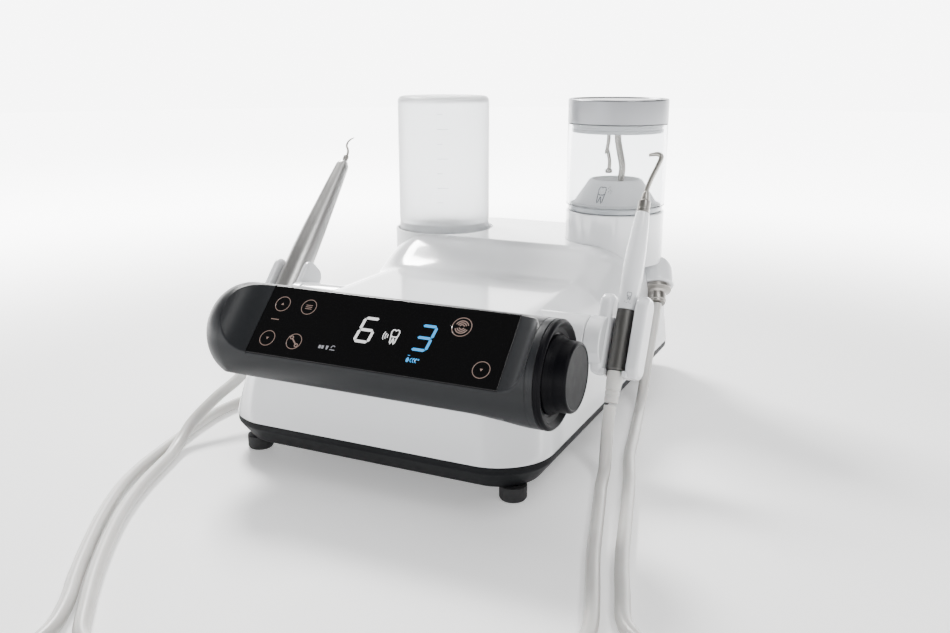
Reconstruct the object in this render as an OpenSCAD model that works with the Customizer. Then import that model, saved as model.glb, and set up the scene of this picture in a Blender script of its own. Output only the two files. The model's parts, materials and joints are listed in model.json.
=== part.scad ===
// Table-top ultrasonic scaler and powder polisher, in millimetres.
// X runs across the unit, the control drum faces -Y, the feet stand on z = 0.
// The origin is under the middle of the unit, hoses left out.

/* [Case] */
// Depth from the front of the control drum to the back of the case
unit_depth = 370; // [350:1:444]
// Width of the case at its foot
case_width = 240; // [220:1:288]
// How much each side leans in between the foot and the shoulder
side_lean = 6; // [2:0.5:8]
// Height of the rubber feet
foot_height = 10; // [6:0.5:12]
// Height of the base pan
pan_height = 17.5; // [14:0.5:21]
// Height of the low front deck
deck_height = 102; // [96:1:110]
// Height of the rear deck
tower_height = 123; // [116:1:140]
// Wall of the cover
case_wall = 2.5; // [2:0.1:4]
// Radius of the shoulders along both sides
shoulder_radius = 42; // [34:1:48]
// Radius of the front corners, seen from above
corner_radius = 38; // [30:1:44]
// Diameter of a foot
foot_diameter = 18; // [14:1:22]

/* [Control drum] */
// Radius of the drum
drum_radius = 33; // [30:0.5:36]
// Height of the drum's axis
drum_height = 93; // [88:1:98]
// Wall of the drum
drum_wall = 3; // [2.5:0.1:4]
// How far the drum stops short of the case's foot on the left
drum_left_short = 10; // [6:1:14]
// How far the drum passes the case on the right
drum_right_over = 15; // [12:1:18]
// Distance of the glass from the drum's axis
flat_distance = 21; // [19:0.5:23]
// Width of the display glass
glass_width = 176; // [140:1:180]
// Thickness of the display glass
glass_thick = 2; // [1.5:0.1:2]
// Diameter of the dial's face
dial_diameter = 42; // [36:0.5:44]
// Diameter of the dial's shaft
dial_shaft = 6; // [5:0.5:8]

/* [Holders and handpieces] */
// Height of the holder pivots
pivot_height = 84; // [80:1:88]
// Diameter of the pivot pins
pivot_pin = 8; // [6:0.5:10]
// Distance of the handpiece axes from the case side
handpiece_out = 18; // [17:0.5:22]
// Tilt of the scaler holder back from upright
scaler_tilt = 43.5; // [30:0.5:50]
// Tilt of the polisher holder back from upright
polisher_tilt = 26; // [16:0.5:40]
// Length of a holder along the handpiece
holder_length = 57; // [50:1:64]
// Length of the scaler handpiece without its tip
scaler_length = 156; // [130:1:187]
// Largest diameter of the scaler handpiece
scaler_diameter = 21.3; // [18:0.1:23]
// Length of the polisher handpiece without its nozzle
polisher_length = 122; // [110:1:146]
// Diameter of the polisher's grip
polisher_diameter = 12.6; // [11:0.1:14]
// Diameter of the hoses
hose_diameter = 8.4; // [7:0.1:9]

/* [Bottle and powder chamber] */
// Diameter of the water bottle
bottle_diameter = 81; // [68:1:86]
// Top of the water bottle above the table
bottle_top = 239; // [210:1:262]
// Diameter of the powder chamber
chamber_diameter = 82; // [70:1:86]
// Wall of the powder chamber
chamber_wall_thick = 3; // [2:0.1:4]
// Height of the clear part of the chamber
chamber_height = 66; // [58:1:79]
// Height of the aluminium cap
cap_height = 19.7; // [16:0.1:24]
// Distance of both vessels from the middle
vessel_x = 79; // [66:1:84]

/* [Hidden] */
$fn = 64;
eps = 0.01;
gap = 0.3;               // between pieces that move past each other
running = 0.05;          // radial clearance of a turning fit
far = 600;

// case
front_y = -unit_depth / 2;
rear_y = unit_depth / 2;
half_foot = case_width / 2;
half_side = half_foot - side_lean;
base_top = foot_height + pan_height;
drum_y = front_y + drum_radius;
panel_foot_y = drum_y - 4;
panel_top_y = drum_y + 4;
panel_top = drum_height - drum_radius;
rear_radius = 24;
board_height = 30;
board_top = board_height + 1.6;
ramp_start = 26;
ramp_end = 81;
pan_inset = 10;
pan_wall = 3;
foot_x = half_foot - 21;
foot_y = [panel_foot_y + 22, rear_y - 35];
screw_radius = 2;

// drum
drum_left = -half_foot + drum_left_short;
drum_right = half_foot + drum_right_over;
bezel_depth = 4;
drum_end_round = 24;
glass_left_share = 0.377;  // share of the glass that lies left of the middle
glass_left = -glass_left_share * glass_width;
glass_right = glass_left + glass_width;
chord = sqrt(drum_radius * drum_radius - flat_distance * flat_distance);
glass_half = chord - 0.3;
left_scoop = 26;
right_scoop = 18;
display_lean = 45;
board_depth = 7;
bracket_flat = flat_distance - glass_thick - 3;
shaft_radius = dial_shaft / 2;
dial_out = drum_right + 11;
dial_length = 20;

// pivots, holders and handpieces
pivot_y = -45;
hub_radius = 17;
boss_end = half_foot - 2.5;
pin_length = 20;
pin_radius = pivot_pin / 2;
handpiece_x = half_foot + handpiece_out;
holder_half = 17;
hub_to_tail = 18.7;
scaler_offset = -2.5;
polisher_offset = 5.1;
scaler_channel = scaler_diameter / 2 + 0.8;
polisher_channel = polisher_diameter / 2 + 1.5;
lip_thick = 4;
nozzle_stem = 1.5;
boot_length = 22;
hose_radius = hose_diameter / 2;
boot_radius = 5.6;

// vessels
bottle_radius = bottle_diameter / 2;
bottle_y = 120;
bottle_foot = 112;
bottle_wall = 2;
neck_radius = 18;
neck_foot = 98;
bottle_cap_radius = neck_radius + 3;
dock_floor = neck_foot - 4 - gap - 3;
dock_neck = bottle_cap_radius + 3.8;
dock_radius = bottle_radius + 3.4;
well_floor = 104;
chamber_radius = chamber_diameter / 2;
chamber_y = 127;
collar_top = 148;
chamber_foot_height = 4.7;
wall_foot = collar_top + gap + chamber_foot_height;
chamber_top = wall_foot + chamber_height;
plug_radius = chamber_radius - chamber_wall_thick - 0.4;
stub_radius = chamber_radius - 6;

// hose ports
port_x = half_foot - 2;
port_y = 126;
port_z = 84;
port_turn = [138.6, 0, 22.2];
port_radius = 15;
sleeve_radius = 10.3;
sleeve_depth = 4;
tip_radius = 7.5;
connector_length = 16;

// rear panel
panel_half = 88;
panel_low = 34;
panel_high = 96;
panel_recess = 10;
panel_back_y = rear_y - panel_recess;
panel_screw_x = 83;
panel_screw_z = [panel_low + 5, panel_high - 5];
supply_z = 52;             // height of the air, water and control connections
air_x = 40;
water_x = 12;
control_x = -20;
board_post_x = [-74, 64];
board_post_y = [-94, -1];

// hose routes, centre line points, and the coils that take up the rest of each hose
floor_z = 4.5;
hose_left_in = [[-122, 116.1, 72], [-124, 100, 54], [-125, 84, 34], [-128, 62, 13], [-133, 33, floor_z],
    [-143, 0, floor_z], [-155, -40, floor_z], [-163, -72, floor_z], [-165, -102, floor_z],
    [-161, -130, floor_z], [-155, -156, floor_z], [-149, -182, floor_z], [-142, -208, floor_z],
    [-131, -236, floor_z], [-113, -268, floor_z], [-93, -298, floor_z], [-72, -327, floor_z],
    [-54, -350, floor_z], [-42, -372, floor_z], [-39, -398, floor_z], [-43, -428, floor_z]];
hose_left_out = [[-138, -77, 53.8], [-140, -89, 43], [-143, -105, 34], [-147, -124, 26], [-149, -148, 15],
    [-144, -168, 7], [-137, -186, floor_z], [-122, -226, floor_z], [-106, -259, floor_z],
    [-88, -288, floor_z], [-66, -319, floor_z], [-45, -345, floor_z], [-26, -366, floor_z],
    [-10.6, -372.3, floor_z], [2.7, -374.5, floor_z], [18.2, -377.9, 4.6], [35.8, -386.7, 6.2],
    [49.7, -402.5, 9.5], [56.3, -421.3, 12.4]];
hose_right_in = [[122, 116.1, 72], [124, 100, 54], [125, 84, 34], [128, 62, 13], [133, 33, floor_z],
    [141, -5, floor_z], [150, -49, floor_z], [160, -83, floor_z], [169, -117, floor_z],
    [178, -153, floor_z], [187, -188, floor_z], [197, -220, floor_z], [207, -248, floor_z],
    [224.4, -262.3, floor_z], [237.7, -264.5, floor_z], [253.2, -267.9, 4.6], [270.8, -276.7, 6.2],
    [284.7, -292.5, 9.5], [291.3, -311.3, 12.4]];
hose_right_out = [[138, -59.2, 43.6], [138.5, -64, 33], [140, -71, 20], [143, -83, 8], [147, -102, floor_z],
    [153, -124, floor_z], [162, -157, floor_z], [172, -193, floor_z], [184, -230, floor_z],
    [192, -258, floor_z], [194, -283, floor_z], [193, -306, floor_z]];
coil_left_at = [5, -440];
coil_right_at = [240, -330];
coil_inner = 36;
coil_outer = 53.4;
coil_height = 17.4;

// ---------- helpers ----------

function unit(v) = v / norm(v);
function catmull(a, b, c, d, t) =
    b + 0.5 * t * (c - a + t * (2 * a - 5 * b + 4 * c - d + t * (3 * (b - c) + d - a)));
function smooth_path(p, steps) = [for (i = [0 : len(p) - 2], j = [0 : steps - 1])
    catmull(p[max(i - 1, 0)], p[i], p[i + 1], p[min(i + 2, len(p) - 1)], j / steps), p[len(p) - 1]];
function tangents(q) = [for (i = [0 : len(q) - 1]) unit(q[min(i + 1, len(q) - 1)] - q[max(i - 1, 0)])];
function across(u, t) = unit(u - (u * t) * t);

// a round bar swept along points: each ring is turned as little as possible from the one before
module swept(points, radius, sides, steps) {
    q = smooth_path(points, steps);
    t = tangents(q);
    n = len(q);
    us = [for (i = 0, u = across([0.31, 0.17, 0.93], t[0]); i < n; i = i + 1, u = across(u, t[min(i, n - 1)])) u];
    ring = [for (i = [0 : n - 1], j = [0 : sides - 1])
        q[i] + radius * (cos(j * 360 / sides) * us[i] + sin(j * 360 / sides) * cross(t[i], us[i]))];
    walls = [for (i = [0 : n - 2], j = [0 : sides - 1])
        let (a = i * sides + j, b = i * sides + (j + 1) % sides) [[a, a + sides, b], [b, a + sides, b + sides]]];
    ends = [[for (j = [0 : sides - 1]) j], [for (j = [sides - 1 : -1 : 0]) (n - 1) * sides + j]];
    polyhedron(ring, concat([for (w = walls) w[0]], [for (w = walls) w[1]], ends), convexity = 6);
}

module tube_z(outer, inner, low, high) {
    translate([0, 0, low]) difference() {
        cylinder(r = outer, h = high - low);
        translate([0, 0, -1]) cylinder(r = inner, h = high - low + 2);
    }
}

module along_x(x0, x1, radius) { translate([x0, 0, 0]) rotate([0, 90, 0]) cylinder(r = radius, h = x1 - x0); }
module along_y(y0, y1, radius) { translate([0, y0, 0]) rotate([-90, 0, 0]) cylinder(r = radius, h = y1 - y0); }
module box(low, high) { translate(low) cube(high - low); }

// plan of the case, drawn in from its edge by inset
module plan(inset) {
    x = half_foot - inset;
    y0 = panel_foot_y + inset;
    y1 = rear_y - inset;
    rf = corner_radius - inset;
    rr = rear_radius - inset;
    polygon(concat(
        [for (a = [-90 : 7.5 : 0]) [x - rf + rf * cos(a), y0 + rf + rf * sin(a)]],
        [for (a = [0 : 7.5 : 90]) [x - rr + rr * cos(a), y1 - rr + rr * sin(a)]],
        [for (a = [90 : 7.5 : 180]) [rr - x + rr * cos(a), y1 - rr + rr * sin(a)]],
        [for (a = [180 : 7.5 : 270]) [rf - x + rf * cos(a), y0 + rf + rf * sin(a)]]));
}

// height of the deck at y: level, a smooth ramp, level again
function deck_at(y) = let (t = min(max((y - ramp_start) / (ramp_end - ramp_start), 0), 1))
    deck_height + (tower_height - deck_height) * t * t * (3 - 2 * t);

// outline of the case across y: two leaning sides and two round shoulders
function section(y, inset, foot) =
    let (spring = deck_at(y) - shoulder_radius, r = shoulder_radius - inset, level = half_side - shoulder_radius)
    concat([[half_foot - inset, y, foot]],
           [for (a = [0 : 9 : 90]) [level + r * cos(a), y, spring + r * sin(a)]],
           [for (a = [90 : 9 : 180]) [-level + r * cos(a), y, spring + r * sin(a)]],
           [[inset - half_foot, y, foot]]);

module lofted_body(inset, foot) {
    ys = concat([panel_foot_y - 5], [for (k = [0 : 6]) ramp_start + k * (ramp_end - ramp_start) / 6], [rear_y + 5]);
    rings = [for (y = ys) section(y, inset, foot)];
    count = len(rings[0]);
    last = len(ys) - 1;
    sides = [for (i = [0 : last - 1], j = [0 : count - 1])
        let (a = i * count + j, b = i * count + (j + 1) % count) [[a, b, a + count], [b, b + count, a + count]]];
    ends = [[for (j = [count - 1 : -1 : 0]) j], [for (j = [0 : count - 1]) last * count + j]];
    polyhedron([for (ring = rings, point = ring) point],
               concat([for (f = sides) f[0]], [for (f = sides) f[1]], ends), convexity = 6);
}

// the outside of the case, or its inside when inset is the wall
module body(inset, foot) {
    intersection() {
        translate([0, 0, foot]) linear_extrude(tower_height) plan(inset);
        translate([-far / 2, 0, 0]) rotate([90, 0, 90]) linear_extrude(far)
            polygon([[panel_foot_y + inset, foot - 1], [panel_foot_y + inset, base_top], [panel_top_y + inset, panel_top],
                     [panel_top_y + inset, tower_height + 20], [rear_y, tower_height + 20], [rear_y, foot - 1]]);
        lofted_body(inset, foot);
    }
}

module at_bottle() { translate([-vessel_x, bottle_y, 0]) children(); }
module at_chamber() { translate([vessel_x, chamber_y, 0]) children(); }
module at_drum() { translate([0, drum_y, drum_height]) children(); }
module at_display() { at_drum() rotate([display_lean, 0, 0]) children(); }
module at_pivot() { translate([0, pivot_y, pivot_height]) children(); }
module mirror_left() { mirror([1, 0, 0]) children(); }
module at_port() { translate([port_x, port_y, port_z]) rotate(port_turn) children(); }

// handpiece frame: z runs up the handpiece from its tail, -y faces the user
module at_handpiece(side, tilt, offset) {
    translate([side * handpiece_x, pivot_y, pivot_height]) rotate([-tilt, 0, 0]) translate([0, offset, -hub_to_tail]) children();
}
module at_scaler() { at_handpiece(-1, scaler_tilt, scaler_offset) children(); }
module at_polisher() { at_handpiece(1, polisher_tilt, polisher_offset) children(); }

// ---------- base ----------

module base_pan() {
    floor_top = foot_height + pan_wall;
    color("#17181a") difference() {
        union() {
            difference() {
                hull() {
                    translate([0, 0, foot_height]) linear_extrude(eps) plan(pan_inset);
                    translate([0, 0, base_top - 5]) linear_extrude(5) plan(0.4);
                }
                hull() {
                    translate([0, 0, floor_top]) linear_extrude(eps) plan(pan_inset + pan_wall);
                    translate([0, 0, base_top]) linear_extrude(5) plan(0.4 + pan_wall);
                }
            }
            for (x = [-foot_x, foot_x], y = foot_y) translate([x, y, floor_top - 1]) cylinder(r = 6, h = 9);
            for (x = board_post_x, y = board_post_y) translate([x, y, floor_top - 1]) cylinder(r = 4, h = board_height - floor_top + 1);
        }
        for (x = [-foot_x, foot_x], y = foot_y) translate([x, y, 0]) cylinder(r = screw_radius, h = foot_height + 10);
    }
}

module foot_pads() {
    color("#101113") for (x = [-foot_x, foot_x], y = foot_y) translate([x, y, 0]) difference() {
        union() {
            cylinder(r1 = foot_diameter / 2 - 1, r2 = foot_diameter / 2, h = 1.5);
            translate([0, 0, 1.5]) cylinder(r = foot_diameter / 2, h = foot_height - 1.5);
        }
        translate([0, 0, -1]) cylinder(r = screw_radius + 0.2, h = foot_height + 2);
        translate([0, 0, -1]) cylinder(r = 4.5, h = 5);
    }
}

module foot_screws() {
    color("#b9bcc0") for (x = [-foot_x, foot_x], y = foot_y) translate([x, y, 0]) {
        translate([0, 0, 2]) cylinder(r = 4, h = 2);
        translate([0, 0, 3]) cylinder(r = screw_radius - 0.05, h = foot_height + 5);
    }
}

// ---------- cover and rear ----------

// room for the drum and its round end in the cover
module drum_way() {
    r = drum_radius + gap;
    e = drum_end_round + gap;
    at_drum() translate([drum_left - gap, 0, 0]) rotate([0, 90, 0]) rotate_extrude($fn = 96) {
        translate([0, e]) square([r, far]);
        square([r - e, far]);
        intersection() {
            translate([r - e, e]) circle(e);
            square([r, far]);
        }
    }
}

module cover_shell() {
    color("#f1f3f5") difference() {
        body(0, base_top);
        body(case_wall, base_top - 2);
        drum_way();
        at_bottle() dock_body(0.1, far);
        at_chamber() translate([0, 0, tower_height - 20]) cylinder(r = chamber_radius + 0.2, h = far);
        for (side = [0, 1]) mirror([side, 0, 0]) {
            at_pivot() along_x(half_foot - 44, far, hub_radius + 0.1);
            at_port() {
                port_outline(0.1);
                cylinder(r = sleeve_radius + 0.5, h = connector_length);
            }
        }
        box([-panel_half, rear_y - case_wall - 1, panel_low], [panel_half, rear_y + 1, panel_high]);
    }
}

module rear_panel() {
    y = panel_back_y;
    color("#2b2d30") difference() {
        box([-panel_half + 0.1, y - 2, panel_low + 0.1], [panel_half - 0.1, rear_y - gap, panel_high - 0.1]);
        box([-panel_half + 2.1, y, panel_low + 2.1], [panel_half - 2.1, rear_y + 1, panel_high - 2.1]);
        box([-79, y - 5, 42], [-51, y + 1, 62]);
        box([-79, y - 5, 70], [-65, y + 1, 90]);
        translate([control_x, 0, supply_z]) along_y(y - 5, y + 1, 8.1);
        for (x = [water_x, air_x]) translate([x, 0, supply_z]) along_y(y - 5, y + 1, 5.1);
        for (i = [0 : 6]) box([60, y - 5, 44 + 6 * i], [80, y + 1, 46.5 + 6 * i]);
        for (x = [-panel_screw_x, panel_screw_x], z = panel_screw_z) translate([x, 0, z]) along_y(y - 5, y + 1, 1.5);
    }
}

module rear_screws() {
    y = panel_back_y;
    color("#b9bcc0") for (x = [-panel_screw_x, panel_screw_x], z = panel_screw_z) translate([x, 0, z]) {
        along_y(y, y + 1.6, 2.4);
        along_y(y - 7, y + 0.5, 1.4);
    }
}

module power_inlet() {
    y = panel_back_y;
    color("#1c1d1f") {
        difference() {
            union() {
                box([-78.8, y - 20, 42.2], [-51.2, y + 0.1, 61.8]);
                box([-80.5, y + 0.1, 40.5], [-49.5, y + 1.5, 63.5]);
            }
            box([-77, y - 16, 44], [-53, y + 3, 60]);
        }
        for (p = [[-70, 52], [-65, 54], [-60, 52]]) box([p[0] - 1, y - 17, p[1] - 2], [p[0] + 1, y - 9, p[1] + 2]);
    }
}

module power_rocker() {
    y = panel_back_y;
    color("#101113") translate([-72, y - 3, 80]) rotate([8, 0, 0]) difference() {
        union() {
            along_x(-6.5, 6.5, 3.4);
            box([-6.5, -0.5, -8.4], [6.5, 4.6, 8.4]);
        }
        translate([0, 8.6, 0]) rotate([0, 90, 0]) translate([0, 0, -8]) cylinder(r = 6, h = 16);
    }
}

module control_socket() {
    y = panel_back_y;
    color("#c8cbd0") translate([control_x, 0, supply_z]) difference() {
        union() {
            along_y(y - 14, y, 8);
            along_y(y, y + 2, 10);
        }
        along_y(y - 11, y + 3, 6);
    }
}

module hose_fitting(y, metal) {
    color(metal) difference() {
        union() {
            along_y(y - 10, y, 5);
            along_y(y, y + 2, 7);
            along_y(y + 2, rear_y - gap, 3);
        }
        along_y(y - 11, rear_y + 1, 1.8);
    }
}
module air_inlet() { translate([air_x, 0, supply_z]) hose_fitting(panel_back_y, "#c2a35a"); }
module water_inlet() { translate([water_x, 0, supply_z]) hose_fitting(panel_back_y, "#c8cbd0"); }

// ---------- control drum ----------

// solid of the drum for a wall set in by inset, with the flat and its scooped ends taken off
module drum_solid(inset, flat) {
    r = drum_radius - inset;
    e = drum_end_round - inset;
    length = drum_right - bezel_depth - drum_left - inset;
    difference() {
        at_drum() translate([drum_left + inset, 0, 0]) rotate([0, 90, 0]) rotate_extrude($fn = 96) {
            translate([0, e]) square([r, length - e + (inset > 0 ? 10 : 0)]);
            square([r - e, length]);
            intersection() {
                translate([r - e, e]) circle(e);
                square([r, length]);
            }
        }
        at_display() translate([0, 60, 0]) rotate([90, 0, 0]) linear_extrude(120) {
            translate([glass_left, flat]) square([glass_width, 60]);
            translate([glass_right, flat + right_scoop]) circle(right_scoop);
            translate([glass_right - 1, flat + right_scoop]) square([right_scoop + 1, 60]);
            intersection() {
                translate([glass_left, flat + left_scoop]) circle(left_scoop, $fn = 128);
                translate([glass_left - 60, 0]) square([60 + eps, 60]);
            }
        }
    }
}

module drum_shell() {
    color("#2e3238") difference() {
        drum_solid(0, flat_distance);
        drum_solid(drum_wall, flat_distance - glass_thick - 2);
        at_display() box([glass_left - 0.1, -drum_radius, flat_distance - glass_thick],
                         [glass_right + 0.1, drum_radius, flat_distance + 20]);
    }
}

module dial_bezel() {
    color("#0c0d0e") at_drum() difference() {
        along_x(drum_right - bezel_depth, drum_right, drum_radius);
        along_x(drum_right - bezel_depth - 1, drum_right + 1, dial_diameter / 2 + 3.5);
    }
}

module display_glass() {
    color("#050607") at_display() box([glass_left, -glass_half, flat_distance - glass_thick],
                                      [glass_right, glass_half, flat_distance]);
}

module display_board() {
    top = flat_distance - board_depth;
    color("#1f5a3a") at_display() {
        box([glass_left + 6, -17, top - 1.6], [glass_right - 6, 17, top]);
        for (x = [glass_left + 12, glass_right - 12], y = [-12, 12]) translate([x, y, top])
            cylinder(r = 3, h = board_depth - glass_thick - 2);
        for (x = [0.44, 0.66]) box([glass_left + x * glass_width, -9, top], [glass_left + x * glass_width + 12, 9, top + 2]);
    }
}

module dial_encoder() {
    color("#8f949a") at_drum() {
        along_x(dial_out - dial_length - 16, dial_out - dial_length - 2, 11);
        difference() {
            along_x(dial_out - dial_length - 2.5, dial_out - dial_length - 0.5, drum_radius - drum_wall);
            rotate([display_lean, 0, 0]) box([0, -drum_radius, bracket_flat], [far, drum_radius, drum_radius]);
        }
        along_x(dial_out - dial_length - 3, dial_out - 7, shaft_radius);
    }
}

module dial_knob() {
    face = dial_diameter / 2;
    color("#141518") at_drum() difference() {
        union() {
            translate([dial_out - dial_length, 0, 0]) rotate([0, 90, 0])
                cylinder(r1 = face + 1.8, r2 = face + 0.6, h = dial_length - 1);
            translate([dial_out - 1, 0, 0]) rotate([0, 90, 0]) cylinder(r1 = face + 0.6, r2 = face, h = 1);
        }
        along_x(dial_out - dial_length - 1, dial_out - 6, shaft_radius + running);
    }
}

// ---------- inside the case ----------

module main_board() {
    color("#2a6b3f") box([-80, -100, board_height], [70, 5, board_height + 1.6]);
}

module board_parts() {
    color("#26292d") {
        for (i = [0 : 3]) translate([-70 + 16 * i, -20, board_top]) cylinder(r = 6, h = 18);
        for (i = [0 : 2]) box([10 + 20 * i, -60, board_top], [24 + 20 * i, -46, board_top + 3]);
        box([-70, -92, board_top], [-40, -80, board_top + 8]);
        box([0, -92, board_top], [60, -84, board_top + 7]);
    }
}

module heat_sink() {
    color("#9ea3a8") {
        box([-75, -68, board_top], [-15, -36, board_top + 3.4]);
        for (i = [0 : 8]) box([-75 + 7.2 * i, -68, board_top + 3.3], [-73 + 7.2 * i, -36, board_top + 26]);
    }
}

module transformer() {
    color("#6d4a2f") {
        box([18, 14, 13], [78, 74, 17]);
        box([24, 20, 17], [72, 68, 58]);
        box([32, 16, 22], [64, 72, 53]);
    }
}

module water_pump() {
    color("#4a4e54") translate([-60, 0, 40]) {
        along_y(20, 70, 18);
        along_y(70, 84, 14);
        box([-14, 24, -27], [14, 66, -10]);
        translate([0, 77, 0]) cylinder(r = 4, h = 22);
    }
}

module valve_block() {
    color("#a9adb3") {
        box([30, 96, 13], [84, 120, 34]);
        for (x = [40, 57, 74]) translate([x, 108, 34]) cylinder(r = 7, h = 22);
    }
}

module air_regulator() {
    color("#3a3d42") translate([air_x, 148, 13]) {
        cylinder(r = 9, h = 26);
        translate([0, 0, 26]) cylinder(r = 12, h = 24);
    }
}

module water_line() {
    color("#9cc4de") {
        translate([water_x, 0, supply_z]) along_y(80, panel_back_y - 10, 3);
        difference() {
            translate([0, 77, supply_z]) along_x(-55.9, water_x, 3);
            translate([-60, 0, 40]) {
                along_y(69, 85, 14.05);
                translate([0, 77, 0]) cylinder(r = 4.05, h = 22.1);
            }
        }
    }
}

module air_line() {
    color("#5b86c0") translate([air_x, 0, supply_z]) along_y(160.1, panel_back_y - 10, 3);
}

// ---------- water bottle ----------

// outside of the bottle's well: a narrow part round its cap and a wide part round its foot
module dock_body(more, rise) {
    translate([0, 0, dock_floor]) cylinder(r = dock_neck + more, h = well_floor - dock_floor + 1);
    translate([0, 0, well_floor - more]) cylinder(r = dock_radius + more, h = rise);
}

module bottle_dock() {
    color("#dfe3e7") at_bottle() difference() {
        dock_body(0, tower_height - well_floor - 0.5);
        translate([0, 0, dock_floor + 3]) cylinder(r = bottle_cap_radius + 0.8, h = far);
        translate([0, 0, well_floor + 3]) cylinder(r = bottle_radius + 0.8, h = far);
        translate([0, 0, dock_floor - 1]) cylinder(r = 5.1, h = 10);
    }
}

module bottle_cap() {
    color("#3f8fd0") at_bottle() {
        difference() {
            translate([0, 0, neck_foot - 4]) cylinder(r = bottle_cap_radius, h = 14);
            translate([0, 0, neck_foot]) cylinder(r = neck_radius + 0.1, h = 20);
        }
        translate([0, 0, dock_floor - 6]) cylinder(r = 5, h = neck_foot - dock_floor + 3);
    }
}

module water_bottle() {
    color("#e8ecef", 0.5) at_bottle() rotate_extrude() polygon(concat(
        [[neck_radius - bottle_wall, neck_foot], [neck_radius, neck_foot], [neck_radius, bottle_foot],
         [bottle_radius - 3, bottle_foot], [bottle_radius, bottle_foot + 3]],
        [for (a = [0 : 15 : 90]) [bottle_radius - 4 + 4 * cos(a), bottle_top - 4 + 4 * sin(a)]],
        [[0, bottle_top], [0, bottle_top - bottle_wall], [bottle_radius - 5, bottle_top - bottle_wall],
         [bottle_radius - bottle_wall, bottle_top - 5], [bottle_radius - bottle_wall, bottle_foot + bottle_wall + 1],
         [neck_radius - bottle_wall, bottle_foot + bottle_wall]]));
}

// ---------- powder chamber ----------

module chamber_dock() {
    color("#eceff2") at_chamber() difference() {
        translate([0, 0, tower_height - 18]) cylinder(r = chamber_radius, h = collar_top - tower_height + 18);
        translate([0, 0, tower_height - 15]) cylinder(r = chamber_radius - 3, h = far);
        translate([0, 0, tower_height - 19]) cylinder(r = 6, h = 5);
    }
}

module dock_seal() {
    color("#3a3d42") at_chamber() tube_z(14, 9, tower_height - 15, collar_top - 0.3);
}

module chamber_foot() {
    color("#9aa0a6") at_chamber() difference() {
        translate([0, 0, collar_top + gap]) cylinder(r = chamber_radius - 0.5, h = chamber_foot_height);
        translate([0, 0, collar_top]) cylinder(r = 7, h = 20);
    }
}

module powder_cone() {
    low = chamber_radius - 7;
    high = 21;
    rise = 21;
    color("#f4f6f8") at_chamber() translate([0, 0, wall_foot]) rotate_extrude() polygon([
        [7, 0], [plug_radius, 0], [plug_radius, 1.6], [low, 1.8], [high, rise], [high - 1.6, rise], [high - 6, 6], [7, 3]]);
}

module chamber_wall() {
    color("#e6edf2", 0.35) at_chamber() tube_z(chamber_radius, chamber_radius - chamber_wall_thick, wall_foot, chamber_top);
}

module lid_plug() {
    color("#d4d8dc") at_chamber() translate([0, 0, chamber_top]) {
        translate([0, 0, -7]) cylinder(r = plug_radius, h = 7);
        translate([0, 0, -eps]) cylinder(r = stub_radius - 0.1, h = cap_height - 7);
    }
}

module air_tube() {
    top = chamber_top - 7;
    foot = wall_foot + 27;
    color("#a3a7ab") at_chamber() {
        swept([[-8, 2, top], [-8, 2, top - 8], [-9.5, 2, top - 18], [-8.5, 2, (top + foot) / 2], [-6.5, 2, foot + 6], [-7, 2, foot]], 1.7, 10, 3);
        translate([-7, 2, foot - 2]) cylinder(r = 3, h = 2);
    }
}

module powder_tube() {
    top = chamber_top - 7;
    foot = wall_foot + 10;
    color("#a3a7ab") at_chamber()
        swept([[1, -1, top], [1, -1, top - 6], [2.5, -1, top - 14], [5.5, -1, top - 28], [4.8, -1, foot + 12], [4, -1, foot]], 2.9, 12, 3);
}

module cap_ring() {
    color("#b4b8bc") at_chamber() translate([0, 0, chamber_top + gap]) difference() {
        cylinder(r = chamber_radius, h = cap_height);
        translate([0, 0, -1]) cylinder(r = stub_radius, h = cap_height - 3);
        translate([0, 0, cap_height - 0.8]) cylinder(r = chamber_radius - 2, h = 2);
    }
}

// ---------- pivots and holders ----------

module pivot_boss() {
    color("#eef1f3") at_pivot() difference() {
        along_x(half_foot - 44, boss_end, hub_radius);
        along_x(boss_end - pin_length - 1, boss_end + 1, pin_radius + running);
    }
}
module pivot_boss_right() { pivot_boss(); }
module pivot_boss_left() { mirror_left() pivot_boss(); }

// a fork of two rounded fins, closed behind and below, on a hub that turns on its pin
module holder(channel, offset, tilt) {
    low = -lip_thick - 0.2;
    fin = holder_half - channel;
    hub_x = boss_end + gap - handpiece_x;
    color("#f4f6f8") {
        at_pivot() along_x(boss_end - pin_length, boss_end + gap + 1, pin_radius);
        at_handpiece(1, tilt, offset) difference() {
            union() {
                for (side = [-1, 1]) translate([side * (holder_half + channel) / 2 - fin / 2, 0, 0])
                    rotate([90, 0, 90]) linear_extrude(fin) fin_outline(channel, low);
                translate([-channel - 1, channel - 2, low]) cube([2 * channel + 2, 5, holder_length - 14]);
                translate([-channel - 1, -8, low]) cube([2 * channel + 2, channel + 9, lip_thick]);
                translate([0, -offset, hub_to_tail]) along_x(hub_x, -channel, hub_radius);
            }
            cylinder(r = channel, h = far);
            translate([-channel, -far, 0]) cube([2 * channel, far, far]);
            translate([0, 0, low - 1]) cylinder(r = boot_radius + 0.8, h = 20);
            translate([-boot_radius - 0.8, -40, low - 1]) cube([2 * boot_radius + 1.6, 40, 20]);
        }
    }
}

module fin_outline(channel, low) {
    front = -10;
    back = channel + 3;
    r = 8;
    top = holder_length + low;
    translate([front, low + r]) square([back - front, top - low - 2 * r]);
    translate([front + r, low]) square([back - front - 2 * r, top - low]);
    for (y = [front + r, back - r], z = [low + r, top - r]) translate([y, z]) circle(r);
}

module holder_right() { holder(polisher_channel, polisher_offset, polisher_tilt); }
module holder_left() { mirror_left() holder(scaler_channel, scaler_offset, scaler_tilt); }

// ---------- hose ports ----------

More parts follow.
